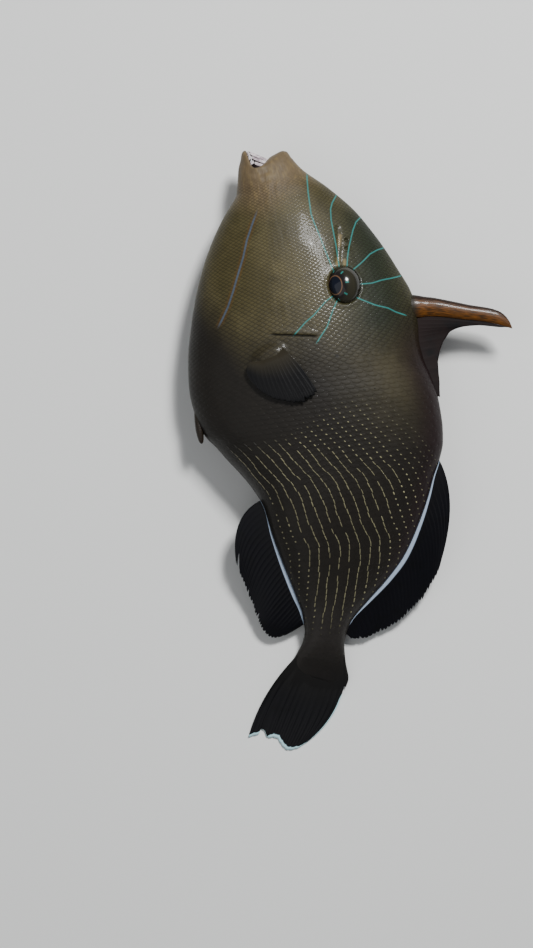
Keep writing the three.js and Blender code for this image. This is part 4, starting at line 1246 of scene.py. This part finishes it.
def fin_material(name, dark, ray_colour, pale, root_colour, root_reach=0.45, relief=0.35):
    """Thin fin skin, wet and nearly black. The eye sees each ray a little lighter and finely
    jointed, the body's colour near the root, and any stripe and margin in pale pigment."""
    m, shader = new_material(name)
    where = add(m, "TexCoord")["Object"]
    cloud, grain = (
        add(m, "TexNoise", {"Vector": where, "Scale": scale, "Detail": detail})["Fac"]
        for scale, detail in ((220, 4), (700, 2))
    )
    (stripe, margin, along), (length, on_ray, _) = (
        add(m, "SeparateXYZ", [add(m, "Attribute", attribute_name=key)["Vector"]])
        for key in ("marks", "rays")
    )
    joint_count = add(m, "Math", (length, JOINTS_PER_MM), operation="MULTIPLY")[0]
    from_joint = add(m, "Math", (joint_count, 0.5), operation="PINGPONG")[0]
    blotch, near_root, past_root, stripe_in, stripe_out, in_margin, joint = (
        add(m, "MapRange", span, **SMOOTH)[0]
        for span in (
            (cloud, 0.45, 0.8), (along, root_reach, 0.1), (along, 0.15, root_reach),
            (stripe, -0.4, 0.1), (stripe, 1, 0.72), (margin, 1.05, 0.7), (from_joint, 0.12, 0),
        )
    )
    ray = add(m, "Math", (on_ray, past_root), operation="MULTIPLY")[0]
    colour = layered(m, linear(dark), (
        (ray, 0.6, ray_colour),
        (blotch, 1, "#040406"),
        (near_root, 1, root_colour),
        (stripe_in, stripe_out, pale),
        (in_margin, 1, pale),
    ))
    # Rays stand proud, with a dent at each joint.
    ray_height = add(m, "Math", (joint, -0.5, 0.6), operation="MULTIPLY_ADD")[0]
    height = add(m, "Math", (ray, ray_height, grain), operation="MULTIPLY_ADD")[0]
    feed(m, shader, {
        "Base Color": colour,
        "Roughness": 0.42,
        "Normal": add(m, "Bump", {"Height": height, "Strength": relief, "Distance": 0.0001})[0],
        "Coat Weight": 0.12,
        "Coat Roughness": 0.04,
        "Specular IOR Level": 0.14,
    })
    return m


black_fin = fin_material("wet black fin skin", "#05050a", "#08080e", "#a3b3c8", "#07070a")
tail_fin = fin_material("wet black tail fin", "#060609", "#0a090d", "#b5dde4", "#151413", 0.6)
NO_MARGIN = curve([(0, 0), (1, 0)])

# What the two soft fins share
SOFT_FIN = {
    "rows": 40, "fork_from": 0.35, "uneven": 0.008, "scallop": 0.03, "rays_from": (0.0, 0.3),
    "wave": 0.35, "membrane": (1.3, 0.34), "ridge": (0.07, 0.035), "fillet": 0, "margin": NO_MARGIN,
}
SOFT_DORSAL = SOFT_FIN | {
    "rays": 31, "seed": 3, "sag": 1.2, "waves": 2.2,
    "tears": ((27.5, 0.05, 0.5), (22.5, 0.03, 0.4), (14.5, 0.02, 0.4)),
    "root": curve([
        (0, 109.5, 44.5), (0.1, 117.5, 40.4), (0.2, 125, 37.4), (0.3, 131, 34.6), (0.4, 136.6, 31.5),
        (0.5, 141.8, 28), (0.6, 146.8, 23.8), (0.7, 151.2, 19.6), (0.8, 155.6, 14.4),
        (0.9, 159.8, 9.2), (1, 164.6, 3.6),
    ]),
    "tip": curve([
        (0, 146, 43.2), (0.1, 150.8, 41.2), (0.2, 155.2, 38.2), (0.3, 158.8, 35), (0.4, 161.9, 31.6),
        (0.5, 164.4, 28.3), (0.6, 166.6, 24.8), (0.7, 168.2, 21), (0.8, 169.5, 17),
        (0.9, 170.5, 12.6), (1, 170, 8.6),
    ]),
    "bow": curve([(0, -2, 4.2), (0.5, -1, 1.6), (1, 0, 0.4)]),
    "outline": BACK, "outward": 1,
    "stripe": curve([(113, 0.1), (122, 0.5), (136, 1.2), (147, 1.5), (156, 1.1), (163, 0.2)]),
}
ANAL = SOFT_FIN | {
    "rays": 28, "seed": 5, "sag": 1.6, "waves": 1.7,
    "tears": ((2.6, 0.16, 1.0), (8.5, 0.03, 0.4), (14.5, 0.04, 0.5)),
    "root": curve([
        (0, 117.9, -13.2), (0.25, 130.0, -10.6), (0.5, 141.2, -8.2), (0.75, 151.8, -5.6),
        (1, 161.2, -3.8),
    ]),
    "tip": curve([
        (0, 139.1, -27), (0.14, 142.4, -26.2), (0.25, 146.8, -25.1), (0.4, 153.4, -23.4),
        (0.55, 158.8, -22.3), (0.68, 162.4, -21.4), (0.78, 165.5, -19.2), (0.86, 166.4, -17),
        (0.93, 165.8, -13.2), (1, 163.8, -8.4),
    ]),
    "bow": curve([(0, -3.8, -3.6), (0.3, -2.2, -1.5), (0.7, 0, -0.4), (1, 0, 0)]),
    "outline": BELLY, "outward": -1,
    "stripe": curve([(124, 0.1), (132, 0.6), (142, 1.1), (150, 1.3), (158, 0.8), (163, 0.15)]),
}
CAUDAL = {
    "rays": 13, "rows": 44, "fork_from": 0.15, "seed": 8, "uneven": 0.003, "scallop": 0.008,
    "tears": ((2.1, 0.03, 0.3),), "rays_from": (0.25, 0.7), "last_edge": {"across": 24.0, "margin": 0.45},
    "sag": 0.0, "wave": 0.0, "waves": 1, "membrane": (1.3, 0.4), "ridge": (0.08, 0.045), "fillet": 0.65,
    "root": curve([
        (0, 172.8, -9.8), (0.25, 175, -7.2), (0.5, 176, -3.4), (0.75, 176, 1.2), (1, 175.5, 5.7),
    ]),
    "tip": curve([
        (0, 199.5, -31), (0.1, 198.8, -27.3), (0.15, 197.2, -26.3), (0.2, 200.4, -24.6),
        (0.3, 200.6, -22.6), (0.38, 201.4, -20.9), (0.46, 203.2, -20.1), (0.55, 204.8, -19.0),
        (0.64, 205.5, -17.3), (0.76, 205.2, -14.4), (0.88, 204.5, -12.9), (1, 203.8, -11.4),
    ]),
    "bow": curve([(0, -1.2, -2), (0.3, -0.4, -0.4), (0.6, 0.4, 0.6), (0.8, 1.4, 2.2), (1, 2.4, 4.2)]),
    "margin": curve([(0, 1.0), (0.1, 1.1), (0.14, 0.0), (0.19, 0.2), (0.24, 1.3), (0.5, 1.3), (0.7, 1.1),
                     (0.85, 0.8), (1, 0.7)]),
}
median_fin("soft_dorsal_fin", SOFT_DORSAL, black_fin)
median_fin("anal_fin", ANAL, black_fin)
median_fin("caudal_fin", CAUDAL, tail_fin)

# The first dorsal spine: a stout, flattened spike of bone in amber-brown skin, dark along its
# front edge and roughened there with rows of tiny points. It locks upright.
SPINE_FRONT = curve([
    (40, 56.2), (45.3, 56.9), (50.4, 57.9), (56.9, 60), (63.5, 62.3), (70.1, 64.3), (73.3, 65.9),
    (75.1, 67.8), (76.2, 70), (76.6, 71.4),
])
SPINE_REAR = curve([
    (40, 64), (45.4, 64.2), (52.8, 65.2), (60.1, 67), (66.2, 68.4), (72.7, 70.6), (75.5, 71.8),
    (76.6, 72.2),
])
SPINE_HALF_THICK = curve([(40, 2.1), (60, 1.6), (72, 1.05), (76.6, 0.5)])
SPINE_REACH = (41, 76.6)
SPINE_FLARE = 0.5
SPINE_RINGS = 300
SPINE_SIDES = 96
POINT_SPACING = 0.85
POINTS_PER_RADIAN = 3.2


def from_point(row, across):
    """Distance from the nearest place of a lattice with every second row shifted by half."""
    across = across + 0.5 * (np.floor(row) % 2)
    return np.hypot(row - np.floor(row) - 0.5, across - np.floor(across) - 0.5)


def spine_points():
    """Ovals along h between the front and rear edges, grooved behind, with a lattice of small
    points over the front third: a bell of the distance to each lattice place."""
    h = np.linspace(*SPINE_REACH, SPINE_RINGS)[:, None]
    angle = full_turn(SPINE_SIDES)[None, :]
    half = (SPINE_REAR(h) - SPINE_FRONT(h)) / 2
    centre = (SPINE_REAR(h) + SPINE_FRONT(h)) / 2
    from_front = np.abs(np.pi - angle)
    away = from_point(h / POINT_SPACING, from_front * POINTS_PER_RADIAN)
    rough = bell(away, 0.26) * (1 - step(from_front, 0.6, 1.1)) * step(h, 47, 50)
    from_rear = np.minimum(angle, 2 * np.pi - angle)
    grow = 0.08 * rough - 0.35 * bell(from_rear, 0.3) + SPINE_FLARE * (1 - step(h, 44.5, 49.5))
    s = centre + (half + grow) * np.cos(angle)
    z = (SPINE_HALF_THICK(h) + grow) * np.sin(angle)
    bone = np.stack([from_front / np.pi + 0 * h, h + 0 * angle, rough], axis=-1)
    return np.stack([s, h + 0 * angle, z], axis=-1), bone


def spine_material(name, dark, light, front):
    """Bone under thin wet skin. The eye sees it streaked lengthwise, darkest on the front edge
    and paler on its rough points."""
    m, shader = new_material(name)
    bone = add(m, "Attribute", attribute_name="bone")["Vector"]
    around, along, rough = add(m, "SeparateXYZ", [bone])
    where = add(m, "Mapping", {"Vector": bone, "Scale": (22, 0.35, 0)})[0]
    streak = add(m, "TexNoise", {"Vector": where, "Scale": 1, "Detail": 4})["Fac"]
    streaks, front_edge, foot = (
        add(m, "MapRange", span, **SMOOTH)[0]
        for span in ((streak, 0.3, 0.7), (around, 0.4, 0.16), (along, 46.8, 44))
    )
    colour = layered(m, linear(dark), (
        (streaks, 1, light),
        (front_edge, 1, front),
        (rough, 0.3, "#54412b"),
        (foot, 1, "#221d12"),
    ))
    feed(m, shader, {
        "Base Color": colour,
        "Roughness": 0.44,
        "Normal": add(m, "Bump", {"Height": streak, "Strength": 0.4, "Distance": 0.0002})[0],
        "Coat Weight": 0.12,
        "Coat Roughness": 0.08,
        "Specular IOR Level": 0.2,
    })
    return m


points, bone = spine_points()
amber_bone = spine_material("amber-brown spine", "#2b1a06", "#643b0c", "#1a0d0a")
finish(tube("dorsal_spine", points, {"bone": bone}), amber_bone, ["dorsal_spine"])

# The membrane behind the first spine: thin dark maroon skin that hangs in a concave sweep from
# the spine's tip to the back, and ties the spine to it.
SPINE_MEMBRANE = {
    "rays": 12, "rows": 60, "fork_from": 0.9, "seed": 11, "uneven": 0.004, "scallop": 0.01,
    "tears": (), "rays_from": (0.0, 0.2),
    "sag": 0.0, "wave": 0.1, "waves": 1, "membrane": (1.5, 0.45), "ridge": (0.012, 0.006), "fillet": 0,
    "root": curve([
        (0, 63.4, 42.5), (0.2, 66.6, 42.2), (0.4, 69.6, 41.8), (0.6, 74.4, 42), (0.8, 81.5, 43.6),
        (1, 89.6, 45.8),
    ]),
    "tip": curve([
        (0, 71.6, 75.6), (0.12, 70.9, 71.5), (0.24, 69.6, 65.9), (0.36, 69.3, 60.8),
        (0.46, 70.1, 56.3), (0.55, 72.2, 53.9), (0.65, 75.2, 51.9), (0.78, 80.2, 50.2),
        (0.9, 86.2, 49.8), (1, 92, 49.2),
    ]),
    "bow": curve([(0, -1.6, 0), (0.3, 0, 0), (1, 0, 0)]),
    "margin": NO_MARGIN,
}
maroon_fin = fin_material("wet maroon membrane", "#150b0a", "#150b0a", "#150b0a", "#1a0f0e", relief=0.08)
median_fin("dorsal_spine_membrane", SPINE_MEMBRANE, maroon_fin)

# Pectoral fins: short fans behind the gill slits. The upper one lies just off the flank and the
# lower one is pressed flat under the fish.
PECTORAL = {
    "rays": 14, "rows": 36, "fork_from": 0.4, "seed": 14, "uneven": 0.01, "scallop": 0.03,
    "tears": ((10.5, 0.04, 0.4),), "rays_from": (0.15, 0.5),
    "root": curve([
        (0, 71.8, -11.4), (0.25, 70.8, -9.4), (0.5, 69.6, -7), (0.75, 68.8, -4.6), (1, 68.2, -2.2),
    ]),
    "tip": curve([
        (0, 79.8, -12.9), (0.12, 82.6, -10.8), (0.28, 85.2, -7.6), (0.42, 86.2, -4.9),
        (0.56, 87.3, -1.6), (0.7, 87.9, 1.4), (0.82, 87.2, 4), (0.92, 86.2, 6.2), (1, 84.4, 7.5),
    ]),
    "bow": curve([(0, -1.2, -2.6), (0.3, 0, -0.6), (0.7, 0, 0), (1, -0.4, 0.6)]),
    "margin": NO_MARGIN,
}
PECTORAL_PROUD = curve([(0, -0.9), (0.2, 0.9), (0.5, 1.3), (1, 1.5)])
PECTORAL_THICK = {"left": (1.0, 0.4), "right": (0.6, 0.34)}
PECTORAL_RIDGE = (0.07, 0.03)
PRESSED_MIDDLE = 0.5


def pectoral(side, material):
    """A pectoral fin: the left one follows the flank at a small height, the right is level."""
    grid = fin_grid(PECTORAL)
    t, r, ray = grid
    flat = fin_line(PECTORAL, t, r)
    thick = between(PECTORAL_THICK[side], r)
    if side == "left":
        middle = flank(flat[..., 0], flat[..., 1]) + PECTORAL_PROUD(r) + thick / 2
    else:
        middle = PRESSED_MIDDLE - FLANK_REST - droop(flat[..., 0])
    ridge = between(PECTORAL_RIDGE, r) * step(r, *PECTORAL["rays_from"])
    half = thick / 2 * (1 - 0.6 * step(r, 0.96, 1.0)) + ridge * ray
    fin_piece("pectoral_fin_" + side, PECTORAL, grid, flat, middle, half, material)


olive_fin = fin_material("wet olive-black fin skin", "#0a0a0c", "#0c0c0c", "#0c0c0c", "#2a261c", 0.6)
for name in SIDES:
    pectoral(name, olive_fin)

# The pelvic spine: a blunt stub of bone at the rear end of the belly's flap, covered in rough
# scales and grown to the skin ahead of it.
PELVIC_H = curve([(82, -32.7), (90, -33.3), (97, -33.2)])
PELVIC_HALF = curve([(82, 1.1), (92, 1.3), (95.5, 0.9), (97, 0.4)])
PELVIC_REACH = (83, 97)
PELVIC_POINT_SPACING = 0.8
PELVIC_POINTS_PER_RADIAN = 1.9
PELVIC_RINGS = 90
PELVIC_SIDES = 48


def pelvic_points():
    """Circles along s with a lattice of blunt points."""
    s = np.linspace(*PELVIC_REACH, PELVIC_RINGS)[:, None]
    angle = full_turn(PELVIC_SIDES)[None, :]
    away = from_point(s / PELVIC_POINT_SPACING, angle * PELVIC_POINTS_PER_RADIAN)
    point = bell(away, 0.3)
    end = np.sqrt(np.clip(1 - step(s, 96.2, 97.2) ** 2, 0.05, 1))
    half = PELVIC_HALF(s) * end + 0.09 * point
    bone = np.stack([0.2 + 0 * point, s + 0 * point, point], axis=-1)
    h = PELVIC_H(s) + half * np.cos(angle)
    return np.stack([s + 0 * angle, h, half * np.sin(angle)], axis=-1), bone


points, bone = pelvic_points()
dark_bone = spine_material("rough dark pelvic scales", "#14110e", "#221c15", "#14110e")
finish(tube("pelvic_spine", points, {"bone": bone}), dark_bone, ["pelvic_spine"])
